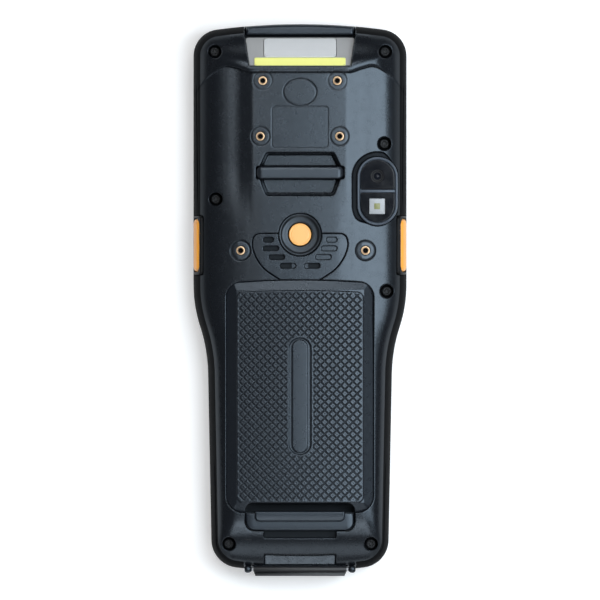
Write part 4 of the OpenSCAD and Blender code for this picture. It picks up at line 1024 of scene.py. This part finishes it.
def lattice(x, y):
    """Raised diamonds with sunk lines between them, and a small dimple in each."""
    pitch = LATTICE_PITCH
    u, w = (x + y) / pitch, (x - y) / pitch
    fu, fw = np.abs(u - np.round(u)), np.abs(w - np.round(w))
    lines = np.maximum(*[line((0.5 - f) * pitch / math.sqrt(2), 0.2) for f in (fu, fw)])
    dimple = np.exp(-((fu ** 2 + fw ** 2) * pitch ** 2 / 2) / 0.045)
    return -LATTICE_DEPTH * lines - 0.07 * dimple


def sd_pad(x, y):
    """Distance to the cover's raised pad with its arched upper edge."""
    ys = np.where(y > -30, y + x * x / 760.0, y)
    return sd_rect(x, ys, 0, (PAD_TOP + PAD_END) / 2, PAD_HALF, (PAD_TOP - PAD_END) / 2, 2.3)


def cover_painted_shade(v):
    """Painted shade in the lattice's sunk lines, where the pad carries it."""
    x, y = v[:, 0], v[:, 1]
    fade = step(0.55, 1.1, -sd_pad(x, y)) * step(0.3, 0.6, sd_stadium(x, y, *GROOVE))
    return 0.72 * (np.clip(-lattice(x, y) / LATTICE_DEPTH, 0, 1) * fade)


def cover_height(x, y, i):
    top = 29.2 - 1.5 * (np.clip(np.abs(x), 0, 24) / 24) ** 2
    side = np.clip((np.abs(x) - PAD_HALF) / 3.7, 0, 1)
    high = np.clip((y - PAD_TOP) / 3.7, 0, 1)
    low = np.clip((PAD_END - y) / 3.6, 0, 1)
    down = (side ** 3 * 2.0 ** 3 + (high * 0.85) ** 3 + (low * 1.9) ** 3) ** (1 / 3)
    # pad with its lattice
    pad, groove = sd_pad(x, y), sd_stadium(x, y, *GROOVE)
    z = np.where(pad < 0, top, top - down) + 0.35 * step(0.0, 0.45, -pad)
    z = z + lattice(x, y) * (step(0.55, 1.25, -pad) * step(0.25, 0.7, groove))
    # groove with its island
    z = z - 0.7 * step(0.05, 0.55, -groove)
    z = z + 0.4 * step(-0.02, 0.4, -sd_stadium(x, y, *ISLAND))
    return z - rounded(i, 0.3)


COVER_PTS = cover_outline()
outlined("cover_face", COVER_PTS, cover_height, [(-1.2, 24.9), (-0.25, 24.7), (-0.02, 24.95)], 0.5, 0.17,
         "cover", ds=0.22, replaces="battery_cover", body="battery_cover", dark=cover_painted_shade)


# ---------------------------------------------------------------- speaker panel, plate and cap
SLOT_ROWS = [(9.8, 14), (7.9, 14), (5.7, 11.8), (1.5, 7.6)]
SLOT_TOP, SLOT_PITCH, SLOT_H = 22.65, 3.27, 2.05


def panel_outline():
    """The speaker panel's outline, wing edges and the bite round the button."""
    right = [(x - 0.1, y) for x, y in wing_side()] + [(12.6, 24.85), (9.0, 24.85)]
    bite = arc(0, BUTTON_Y, 8.3, 2.0, -182.0, 60)
    return [(-7.3, 7.75)] + right + bite + [(-x, y) for x, y in right[::-1]][:-1]


def slot_distance(x, y):
    d = np.full(np.shape(x), 9.0)
    for row, (xi, xo) in enumerate(SLOT_ROWS):
        d = np.minimum(d, sd_slot_x(np.abs(x), y, xi, xo, SLOT_TOP - SLOT_PITCH * row, SLOT_H))
    return d


def open_slot(x, y):
    return ((x < 0) | (y < 14.5)) & ~((np.abs(x) < 3.1) & (y < 14.5))


def panel_height(x, y, i):
    z = mid_height(x, y)
    depth = np.where(open_slot(x, y), 1.3, 0.45)
    return recess(z, slot_distance(x, y), z - depth, 0.18, 0.15) - rounded(i, 0.22)


def panel_painted_shade(v):
    """Painted shade: open slots painted black, shallow ones only outlined in shade."""
    x, y = v[:, 0], v[:, 1]
    d = slot_distance(x, y)
    return np.where(open_slot(x, y), 0.97 * step(-0.05, 0.15, -d), 0.75 * line(d + 0.12, 0.14))


def plate_height(x, y, i):
    return mid_height(x, y) - rounded(i, 0.15) - 0.02


def plate_outline():
    """Rounded rectangle with the contact cap's bite in its upper edge."""
    top = 72.55
    pts = fillet_poly(box_pts(-10.4, 10.4, 57.35, top), 1.1, 6)
    k = max(range(len(pts)), key=lambda j: (pts[j][1] > top - 0.05, pts[j][0]))
    turn = np.linspace(math.radians(-35), math.radians(-145), 22)
    bite = [(7.0 * math.cos(t), CAP_Y + 5.9 * math.sin(t)) for t in turn]
    return pts[:k + 1] + [p for p in bite if p[1] < top] + pts[k + 1:]


outlined("speaker_face", panel_outline(), panel_height, [(-1.0, 27.8), (-0.02, 27.7)], 0.3, 0.14,
         "back_plastic", ds=0.2, replaces="speaker_panel", dark=panel_painted_shade)
outlined("plate_face", plate_outline(), plate_height, [(-0.5, 27.9), (-0.02, 28.0)], 0.25, 0.3,
         "back_plastic", replaces="service_plate")
CAP_PTS = [(6.05 * math.cos(t), CAP_Y + 4.95 * math.sin(t)) for t in np.linspace(0, 2 * math.pi, 96, endpoint=False)]
outlined("cap_face", CAP_PTS, plate_height, [(-0.5, 27.9), (-0.02, 28.0)], 0.25, 0.3,
         "back_plastic", replaces="contact_cap")

# ---------------------------------------------------------------- centre button and its ring
CAP_R, CAP_ROUND = 4.2, 0.45
RING_PROFILE = [(7.86, 26.2), (7.86, 28.95), (7.8, 29.12), (7.66, 29.22), (7.45, 29.22), (7.25, 29.12),
                (7.0, 28.92), (6.8, 28.76), (6.6, 28.66), (6.3, 28.6), (5.6, 28.56), (4.85, 28.54),
                (4.66, 28.48), (4.58, 28.3), (4.55, 26.1)]


def button_cap(r, a):
    rim = 0.1 * math.exp(-((r - 3.45) / 0.18) ** 2)
    near = max(0.0, CAP_ROUND - (CAP_R - r))
    return 28.62 - 0.0022 * r * r - rim - (CAP_ROUND - math.sqrt(max(0.0, CAP_ROUND ** 2 - near ** 2)))


lathe("button_ring_face", RING_PROFILE, (0, BUTTON_Y, 0), "ring", 120, replaces="button_ring")
polar("button_cap_face", (0, BUTTON_Y), CAP_R, button_cap, "button_peach", 34, 96, 26.0,
      replaces="centre_button", body="centre_button")

# ---------------------------------------------------------------- strap bar
BAR_RIGHT = [(15.1, 45.6), (16.4, 46.6), (16.4, 49.1), (15.1, 50.1)]
BAR_LEFT = [(-x, y) for x, y in BAR_RIGHT[::-1]]


def bar_height(x, y, i):
    end = np.clip((np.abs(x) - 14.2) / 2.2, 0, 1)
    crown = 0.05 * ((y - BAR_Y) / 2.2) ** 2
    return 29.9 - rounded(i, 0.6) - 1.2 * end ** 2 - 0.3 * np.clip(y - 49.0, 0, 0.55) - crown


BAR_PTS = fillet_poly(BAR_LEFT[2:] + BAR_RIGHT + BAR_LEFT[:2], 0.9, 6)
outlined("strap_bar_face", BAR_PTS, bar_height, [(-1.2, 26.5), (-0.45, 26.55), (0.0, 27.0), (0.0, 28.6)],
         0.65, 0.2, "bar", steps=8, replaces="strap_bar")

# ---------------------------------------------------------------- camera
LENS_Y, LENS_R = 46.5, 3.3
FLASH_X, FLASH_Y = CAM_X - 0.1, 35.2
PANE_Z = 28.18
RIM_PROFILE = [(0.0, 19.2), (0.0, 28.45), (0.06, 28.7), (0.2, 28.85), (0.42, 28.9), (0.62, 28.9), (0.85, 28.82),
               (0.98, 28.65), (1.05, 28.4), (1.05, 27.35), (1.75, 27.3), (1.8, 19.6)]
LENS_STEPS = [(0.95, 25.0), (1.5, 25.15), (1.62, 25.55), (2.3, 25.75), (2.42, 26.2), (3.1, 26.4), (3.3, 26.3)]


def pane_pts(sign):
    """Outline of the upper or lower dark pane, a half round with a straight edge at the bar."""
    r, cy, y = 6.45, CAM_Y + sign * (CAM_L / 2 - CAM_W / 2), CAM_Y + sign * 0.7
    start = 0 if sign > 0 else 180
    bow = arc(CAM_X, cy, r, start, start + 180, 28)
    return fillet_poly(bow + [(CAM_X - sign * r, y), (CAM_X + sign * r, y)], [0] * len(bow) + [0.4, 0.4])


def in_window(x, y):
    """Clear openings printed in the dark panes: round for the lens, square for the lamp."""
    return (sd_circle(x, y, CAM_X, LENS_Y, 2.6) < 0) | (sd_rect(x, y, FLASH_X, FLASH_Y, 3.1, 3.1, 0.4) < 0)


def dome_height(r, a):
    return 25.2 + math.sqrt(1.6 ** 2 - r * r) - 0.93


def barrel_height(r, a):
    """Stepped barrel with a small crown in its middle."""
    if r <= 0.75:
        return 25.0 + 0.12 * (1 - (r / 0.75) ** 2)
    return next((z for edge, z in LENS_STEPS if r <= edge), 26.2)


def pane_height(x, y, i):
    return PANE_Z - rounded(i, 0.2)


swept("camera_rim_face", stadium_pts(CAM_X, CAM_Y, CAM_W, CAM_L), RIM_PROFILE, "camera_rim", 0.22,
      replaces="camera_frame")
prisms("camera_bar", [(box_pts(CAM_X - 6.62, CAM_X + 6.62, CAM_Y - 0.55, CAM_Y + 0.55), 27.3, 28.55)], 0.22,
       "camera_rim")
prisms("camera_floor", [(stadium_pts(CAM_X, CAM_Y, 12.6, 23.1, 20), 19.25, 19.7)], 0.1, "inner_black")
for sign, tag in ((1, "lens"), (-1, "flash")):
    piece = outlined("camera_pane_" + tag, pane_pts(sign), pane_height, [(-0.3, 27.4), (0, 27.5)], 0.3, 0.16,
                     "smoked_pane", holes=in_window)
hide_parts("camera_panes")
for tag, pts in (("lens", arc(CAM_X, LENS_Y, 2.75, 0, 354, 59)),
                 ("flash", round_rect_pts(FLASH_X, FLASH_Y, 6.4, 6.4, 0.4, 5))):
    outlined("camera_clear_" + tag, pts, 28.1, [(-0.05, 27.9)], 0.3, 0.6, "smoked_pane", mat="clear_pane")
polar("lens_dome", (CAM_X, LENS_Y), 1.3, dome_height, "smoked_pane", 20, 64, 25.0, mat="lens_glass")
polar("lens_barrel", (CAM_X, LENS_Y), LENS_R, barrel_height, "inner_black", 40, 72, 19.6, 25,
      replaces="camera_module")
FLASH_PTS = box_pts(FLASH_X - 2.95, FLASH_X + 2.95, FLASH_Y - 2.95, FLASH_Y + 2.95)
prisms("flash_plate", [(fillet_poly(FLASH_PTS, 0.3, 4), 19.7, 27.5)], 0.15, "lamp", replaces="flash_lamp")
CHIP_PTS = box_pts(CAM_X - 1.2, CAM_X + 1.0, 34.1, 36.3)
prisms("flash_chip", [(fillet_poly(CHIP_PTS, 0.25, 4), 27.45, 27.75)], 0.08, "lamp", mat="chip")

# ---------------------------------------------------------------- scan window
CS, SN = math.cos(SLOPE), math.sin(SLOPE)
PANE_Y = 10.1


def slope_piece(name, pts, height, skirt, rim, cell, slot, replaces):
    """Piece outlined across and down the slope, standing out of it."""
    v, q = shell_faces(pts[::-1], height, skirt, rim, cell)
    out = np.stack([v[:, 0], SCAN_Y + v[:, 1] * CS + v[:, 2] * SN, SCAN_Z - v[:, 1] * SN + v[:, 2] * CS], 1)
    return add_mesh(name, out, q[:, ::-1], slot, sharp=40, replaces=replaces)


def bezel_height(x, y, i):
    d = sd_rect(x, y, 0, PANE_Y, 13.55, 4.75, 1.1)
    z = -0.95 - 0.25 * np.clip((np.abs(x) - 15.0 - 0.2 * y) / 5, 0, 1) ** 2
    return recess(z, d - 0.12, -1.9, 0.1, 0.18) - rounded(i, 0.3)


def level_height(level, round_r):
    return lambda x, y, i: level - rounded(i, round_r)


BEZEL_PTS = fillet_poly([(-19.0, 0.1), (19.0, 0.1), (20.55, 15.25), (-20.55, 15.25)], [0.4, 0.4, 0.8, 0.8], 6)
slope_piece("bezel_face", BEZEL_PTS, bezel_height, [(-0.2, -2.5), (0, -2.4)], 0.35, 0.3, "bezel", "scan_bezel")
slope_piece("pane_face", round_rect_pts(0, PANE_Y, 27.1, 9.5, 1.1, 8), level_height(-0.92, 0.3),
            [(-0.1, -1.9), (0, -1.8)], 0.35, 0.6, "pane", "scan_window")
slope_piece("strip_face", round_rect_pts(0, 2.6, 34.3, 4.0, 0.6, 6), level_height(-0.62, 0.12),
            [(-0.1, -1.1), (0, -0.95)], 0.2, 0.5, "strip", "window_strip")

# ---------------------------------------------------------------- nose lip
LIP_HALF, LIP_Y = 20.3, 99.5


def lip_pts():
    top = [(x, TOP - TOP_R + math.sqrt(TOP_R ** 2 - x * x) - 0.04) for x in np.linspace(LIP_HALF, -LIP_HALF, 60)]
    return fillet_poly([(-LIP_HALF, LIP_Y), (LIP_HALF, LIP_Y)] + top,
                       [0.5, 0.5, 1.0] + [0] * (len(top) - 2) + [1.0], 6)


def lip_height(x, y, i):
    return 20.75 - rounded(i, 1.1) * 1.3 - 0.03 * (y - LIP_Y) ** 2


outlined("lip_face", lip_pts(), lip_height, [(-0.3, 14.1), (0, 14.2)], 1.1, 0.3,
         "lip", steps=8, replaces="nose_lip")

# ---------------------------------------------------------------- latch
THUMB_LOW, THUMB_TOP = -83.2, -79.4


def latch_height(x, y, i):
    ends = 0.25 * np.clip((np.abs(x) - 17.5) / 2.5, 0, 1) ** 2
    return 24.93 - rounded(i, 0.5) - ends - 0.2 * np.clip((-84.6 - y) / 2, 0, 1) ** 2


def thumb_height(x, y, i):
    t = np.clip((y - THUMB_LOW) / (THUMB_TOP - THUMB_LOW), 0, 1)
    return 27.08 - 0.55 * (1 - t) ** 2 - rounded(i, 0.55)


LATCH_PTS = fillet_poly(box_pts(-20.25, 20.25, LATCH_LOW + 0.05, LATCH_TOP - 0.02), [3.3, 3.3, 0.3, 0.3], 8)
THUMB_PTS = fillet_poly(box_pts(-16.85, 16.85, THUMB_LOW, THUMB_TOP), [1.7, 1.7, 0.35, 0.35], 8)
outlined("latch_face", LATCH_PTS, latch_height, [(-0.3, 23.32), (0, 23.45)], 0.6, 0.3,
         "latch", replaces="battery_latch", body="battery_latch")
outlined("thumb_face", THUMB_PTS, thumb_height, [(0, 24.6)], 0.6, 0.25,
         "latch", steps=7, body="battery_latch")
for side, tag in SIDES:
    x0, x1 = sorted((side * 13.9, side * 21.1))
    prisms("latch_pocket_" + tag, [(box_pts(x0, x1, -89.8, -83.0), 22.6, 22.85),
                                   (box_pts(x0, x1, -89.95, -89.7), 22.6, 25.0)], 0.05,
           "housing", mat="inner_black")

# ---------------------------------------------------------------- inserts and screws
INSERT_PROFILE = [(1.62, -3.6), (1.62, -0.34), (1.55, -0.24), (1.25, -0.22), (1.12, -0.34), (1.0, -0.8),
                  (0.96, -1.4), (0.9, -3.2)]


def screw_height(r, a):
    """Screw head with a six-lobed drive."""
    lobe = 0.92 + 0.17 * math.cos(6 * a)
    t = min(1.0, max(0.0, (lobe - r) / 0.12))
    return 18.05 - 0.22 * max(0.0, (r - 1.3) / 0.7) ** 2 - 1.1 * t * t * (3 - 2 * t)


for k, (ix, iy, iz) in enumerate(INSERTS):
    piece = lathe("insert_" + str(k + 1), [(r, iz + h) for r, h in INSERT_PROFILE], (ix, iy, 0), "brass", 48)
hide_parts("thread_inserts")
for k, at in enumerate(SCREWS):
    piece = polar("screw_" + str(k + 1), at, 2.0, screw_height, "screw_black", 30, 72, 16.5, 35)
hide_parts("housing_screws")


# ---------------------------------------------------------------- side buttons and frames
def side_x(z):
    return HW - ROLL_W * (1 - np.sqrt(np.maximum(1 - ((z - SPLIT_Z) / (ROLL_Z - SPLIT_Z)) ** 2, 0)))


def sd_button(y, z):
    return sd_rect(y, z, SIDE_Y, SIDE_Z, 10.15, 3.55, 2.5)


def side_button_x(y, z, i):
    ends = np.clip((np.abs(y - SIDE_Y) - 7.6) / 2.4, 0, 1)
    return np.minimum(side_x(z) + 0.35, 39.98) - rounded(i, 1.1) * 0.8 - 0.55 * ends ** 2


def side_frame_x(y, z, i):
    d, lip = sd_button(y, z), 0.25
    turn = lip - np.sqrt(lip * lip - np.clip(lip - np.maximum(d, 0), 0, lip) ** 2)
    return side_x(z) - 0.04 - rounded(i, 0.3) - turn - 2.2 * step(0, 0.2, -d)


def flank(name, pts, height, skirt, rim, cell, slot, side, holes=None, steps=5, **at):
    """Piece outlined in Y and Z on a flank, standing out along X."""
    v, q = shell_faces(pts, height, skirt, rim, cell, holes=holes, steps=steps)
    out = np.stack([side * v[:, 2], v[:, 0], v[:, 1]], 1)
    return add_mesh(name, out, q if side > 0 else q[:, ::-1], slot, sharp=45, **at)


for side, tag in SIDES:
    flank("side_button_face_" + tag, round_rect_pts(SIDE_Y, SIDE_Z, 19.9, 6.7, 2.4, 8), side_button_x,
          [(0, 36.9)], 1.1, 0.3, "button_orange", side, steps=8,
          replaces="side_button_" + tag, body="side_button_" + tag)
    flank("side_frame_face_" + tag, round_rect_pts(SIDE_Y, SIDE_Z, 22.1, 8.9, 1.4, 8), side_frame_x,
          [(0, 36.6)], 0.35, 0.22, "ring", side, holes=lambda y, z: sd_button(y, z) < -0.35,
          replaces="side_frame_" + tag, mat="frame_black")

# ---------------------------------------------------------------- smaller CAD pieces with their edges rounded
rounded_copy("connector_lid", "lid_face", "lid", 0.25)
rounded_copy("battery_pack", "battery_case", "battery", 0.6)
for row in range(1, 5):
    for col in range(1, 5):
        rounded_copy("key_%d_%d" % (row, col), "key_cap_%d_%d" % (row, col), "key", 0.45, 3)
rounded_copy("scan_key", "scan_key_cap", "button_orange", 0.6, 3)
rounded_copy("display_glass", "glass_face", "display_glass", 0.2)

# ---------------------------------------------------------------- lid ears
EAR_PROFILE = [(0.55, 18.15), (0.8, 18.2), (1.12, 18.5), (1.33, 19.0), (1.42, 19.6), (1.36, 20.2), (1.1, 20.65),
               (0.8, 20.85), (0.62, 20.88), (0.58, 20.7), (0.0, 20.7)]
for side, tag in SIDES:
    lathe("lid_ear_" + tag, [(r, side * h) for r, h in EAR_PROFILE], (0, -101.1, 17.6), "housing", 40, axis="X")

# ---------------------------------------------------------------- inner side of the battery cover
def inner_height(x, y, i):
    """Inner side of the cover, over the battery, with its ribs."""
    d = sd_rect(x, y, 0, BAY_Y, 23.8, 36.8, 1.0)
    z = 24.75 + 2.75 * step(0.0, 0.6, -d)
    rib = np.minimum(np.abs((x + 200) % 8.0 - 4.0), np.abs((y + 200) % 12.0 - 6.0))
    z = z - 0.7 * (1 - step(0.25, 0.5, rib)) * step(0.3, 0.8, -d)
    return np.minimum(z, cover_height(x, y, np.full(np.shape(x), 9.0)) - 0.4)


outlined("cover_inner", COVER_PTS, inner_height, [(-0.02, 25.0)], 0.4, 0.4,
         "cover", ds=0.3, up=-1, body="battery_cover", mat="inner_black")
for side, tag in SIDES:
    x = side * 22.15
    prisms("cover_tab_" + tag, [(box_pts(x - 2.5, x + 2.5, 4.9, 9.0), 25.1, 26.1)], 0.2,
           "cover", body="battery_cover")

# ---------------------------------------------------------------- front housing
KEY_PITCH, KEY_TOP = 13.6, -35.25
KEYS = [(c * KEY_PITCH - 1.5 * KEY_PITCH, KEY_TOP - KEY_PITCH * r) for r in range(4) for c in range(4)]
FACE_RIM = 2.5
EDGE_ROWS = [(0.35, 13.98), (0.07, 13.96), (0.0, 13.82), (0.0, 11.4), (0.0, 10.9), (0.0, 8.0), (0.0, 4.6),
             (0.0, 4.3), (0.0, 4.0)]
PORT_Z = 7.7


def sd_key(x, y, at):
    return sd_rect(x, y, at[0], at[1], 5.75, 4.55, 2.25)


def sd_scan_key(x, y):
    return sd_rect(x, y, 0, -19.45, 13.25, 6.75, 6.25)


def sd_earpiece(x, y):
    return sd_slot_x(x, y, -7.2, 7.2, 99.55, 1.7)


def sd_port(x, z):
    return sd_rect(x, z, 0, PORT_Z, 7.5, 2.3, 0.3)


def sink(z, d, depth, wall=0.15, edge=0.15):
    """Sinks the front face to a depth inside a shape, with a rounded rim outside it."""
    e = np.clip(edge - np.maximum(d, 0), 0, edge)
    z = z + edge - np.sqrt(edge * edge - e * e)
    return z + np.maximum(depth - z, 0) * step(0, wall, -d)


def front_height(x, y, i):
    """Height of the front face, where more is deeper into the body."""
    z = 4 * (1 - np.sqrt(np.maximum(1 - (1 - np.clip(i, 0, FACE_RIM) / FACE_RIM) ** 2, 0)))
    z = sink(z, sd_rect(x, y, 0, 48.55, 33.3, 49.1, 5.0), 1.55, edge=0.3)
    z = sink(z, sd_rect(x, y, 0, -46.65, 29.0, 38.2, 6.0), 1.4, 0.9, 0.5)
    z = sink(z, sd_scan_key(x, y), 2.6)
    for key in KEYS:
        z = sink(z, sd_key(x, y, key), 2.6)
    return sink(z, sd_earpiece(x, y), 2.2)


def front_painted_shade(v):
    """Painted shade in the wells of the keys and the earpiece slot."""
    x, y, z = v.T
    d = step(0.0, 0.15, -sd_earpiece(x, y))
    for sd in [sd_key(x, y, key) for key in KEYS] + [sd_scan_key(x, y)]:
        d = np.maximum(d, step(0.0, 0.2, -sd))
    return d * (z < 4)


def front_skin():
    """Outer face of the front housing with the fields for glass and keys."""
    rows = [body_row(i, z) for i, z in EDGE_ROWS]
    rows += [body_row(FACE_RIM * (1 - math.cos(math.pi / 2 * k / 12)), front_height) for k in range(1, 13)]
    v, q = band(rows)
    gx, gy, ci = body_grid(0.3)
    v, q = fill_grid(v, q, gx, gy, ci, ci > FACE_RIM * 1.02, OUT_P, FACE_RIM,
                     lambda x, y, i: np.stack([x, y, front_height(x, y, i)], 1))
    q = q[:, [0, 3, 2, 1]]
    x, y, z = v[q].mean(1).T
    port = (np.abs(x) < 8.4) & (y < -101) & (z > 4.5) & (z < 11.0)
    return add_mesh("front_shell", v, q[~port], "front_shell", front_painted_shade, replaces="front_housing")


def port_y(x, z, i):
    return 101.88 - rounded(i, 0.25) - 1.2 * step(0, 0.15, -sd_port(x, z))


front_skin()
v, q = shell_faces(round_rect_pts(0, PORT_Z, 16.9, 6.5, 0.5, 5), port_y, [(0, 100.4)], 0.3, 0.2,
                   holes=lambda x, z: sd_port(x, z) < -0.2)
add_mesh("dock_frame", np.stack([v[:, 0], -v[:, 2], v[:, 1]], 1), q, "front_shell",
         lambda w: np.zeros(len(w)), sharp=40)


# ---------------------------------------------------------------- floor, light and camera
def seen_white(nt, white):
    """A strength: 'white' for camera, glossy and transmission rays, none for all others."""
    path = nt.nodes.new("ShaderNodeLightPath")
    seen = path.outputs["Is Camera Ray"]
    for other in ("Is Glossy Ray", "Is Transmission Ray"):
        seen = combined(nt, "MAXIMUM", seen, path.outputs[other])
    level = nt.nodes.new("ShaderNodeMapRange")
    level.inputs["To Max"].default_value = white
    nt.links.new(seen, level.inputs["Value"])
    return level.outputs["Result"]


FLOOR_HALF, FLOOR_CELLS, FLOOR_Z = 1.2, 24, -0.0005
FLOOR_GLOW = 0.3


def stage_set():
    """White paper floor just under the part."""
    bm = bmesh.new()
    n, ticks = FLOOR_CELLS, [FLOOR_HALF * (i / FLOOR_CELLS * 2 - 1) for i in range(FLOOR_CELLS + 1)]
    grid = [[bm.verts.new((x, y, FLOOR_Z)) for x in ticks] for y in ticks]
    for j in range(n):
        for i in range(n):
            bm.faces.new((grid[j][i], grid[j][i + 1], grid[j + 1][i + 1], grid[j + 1][i]))
    me = mesh_of(bm, "floor")
    floor = bpy.data.objects.new("floor", me)
    bpy.context.scene.collection.objects.link(floor)
    m, nt, b = node_tree("floor_paper")
    nt.links.new(ramp(nt, noise(nt, 6.0), [(0.3, grey(0.92)), (0.7, grey(0.95))]), b.inputs["Base Color"])
    b.inputs["Roughness"].default_value = 0.9
    b.inputs["Specular IOR Level"].default_value = 0.1
    b.inputs["Emission Color"].default_value = (1, 1, 1, 1)
    nt.links.new(seen_white(nt, FLOOR_GLOW), b.inputs["Emission Strength"])
    me.materials.append(m)


# name, place, size, power and colour of each lamp, all aimed at the part
AIM = Vector((0, 0, 0.02))
LAMPS = [
    ("key_right", (0.4, 0.04, 0.86), (0.46, 0.75), 7.8, (0.84, 0.93, 1.0)),
    ("fill_left", (-0.24, 0.22, 0.92), (0.16, 0.4), 1.0, (1.0, 0.99, 0.98)),
    ("overhead", (0.04, 0.0, 1.5), (0.3, 0.8), 0.1, (0.8, 0.9, 1.0)),
    ("top_end", (0.0, 0.5, 0.8), (0.5, 0.12), 2.1, (0.97, 0.98, 1.0)),
    ("low_end", (0.05, -0.46, 0.9), (0.5, 0.1), 1.5, (0.94, 0.97, 1.0)),
    ("low_far", (0.05, -0.85, 0.4), (0.5, 0.3), 0.9, (0.94, 0.97, 1.0)),
]


def area(name, place, size, power, colour):
    d = bpy.data.lights.new(name, "AREA")
    d.shape = "RECTANGLE"
    d.size, d.size_y = size
    d.energy = power
    d.color = colour
    o = bpy.data.objects.new(name, d)
    bpy.context.scene.collection.objects.link(o)
    o.location = place
    o.rotation_euler = (AIM - Vector(place)).to_track_quat("-Z", "Y").to_euler()


stage_set()
for lamp in LAMPS:
    area(*lamp)

world = bpy.data.worlds.new("studio")
bpy.context.scene.world = world
world.use_nodes = True
wn = world.node_tree
bg = wn.nodes["Background"]
bg.inputs["Color"].default_value = (1, 1, 1, 1)
bg.inputs["Strength"].default_value = 0.1

cam_data = bpy.data.cameras.new("camera")
cam = bpy.data.objects.new("camera", cam_data)
bpy.context.scene.collection.objects.link(cam)
cam_data.type = "ORTHO"
cam_data.ortho_scale = 0.22535
cam.location = (0, 0, 1.2)
cam.rotation_euler = (0, 0, 0)
bpy.context.scene.camera = cam
bpy.context.scene.view_settings.view_transform = "Standard"
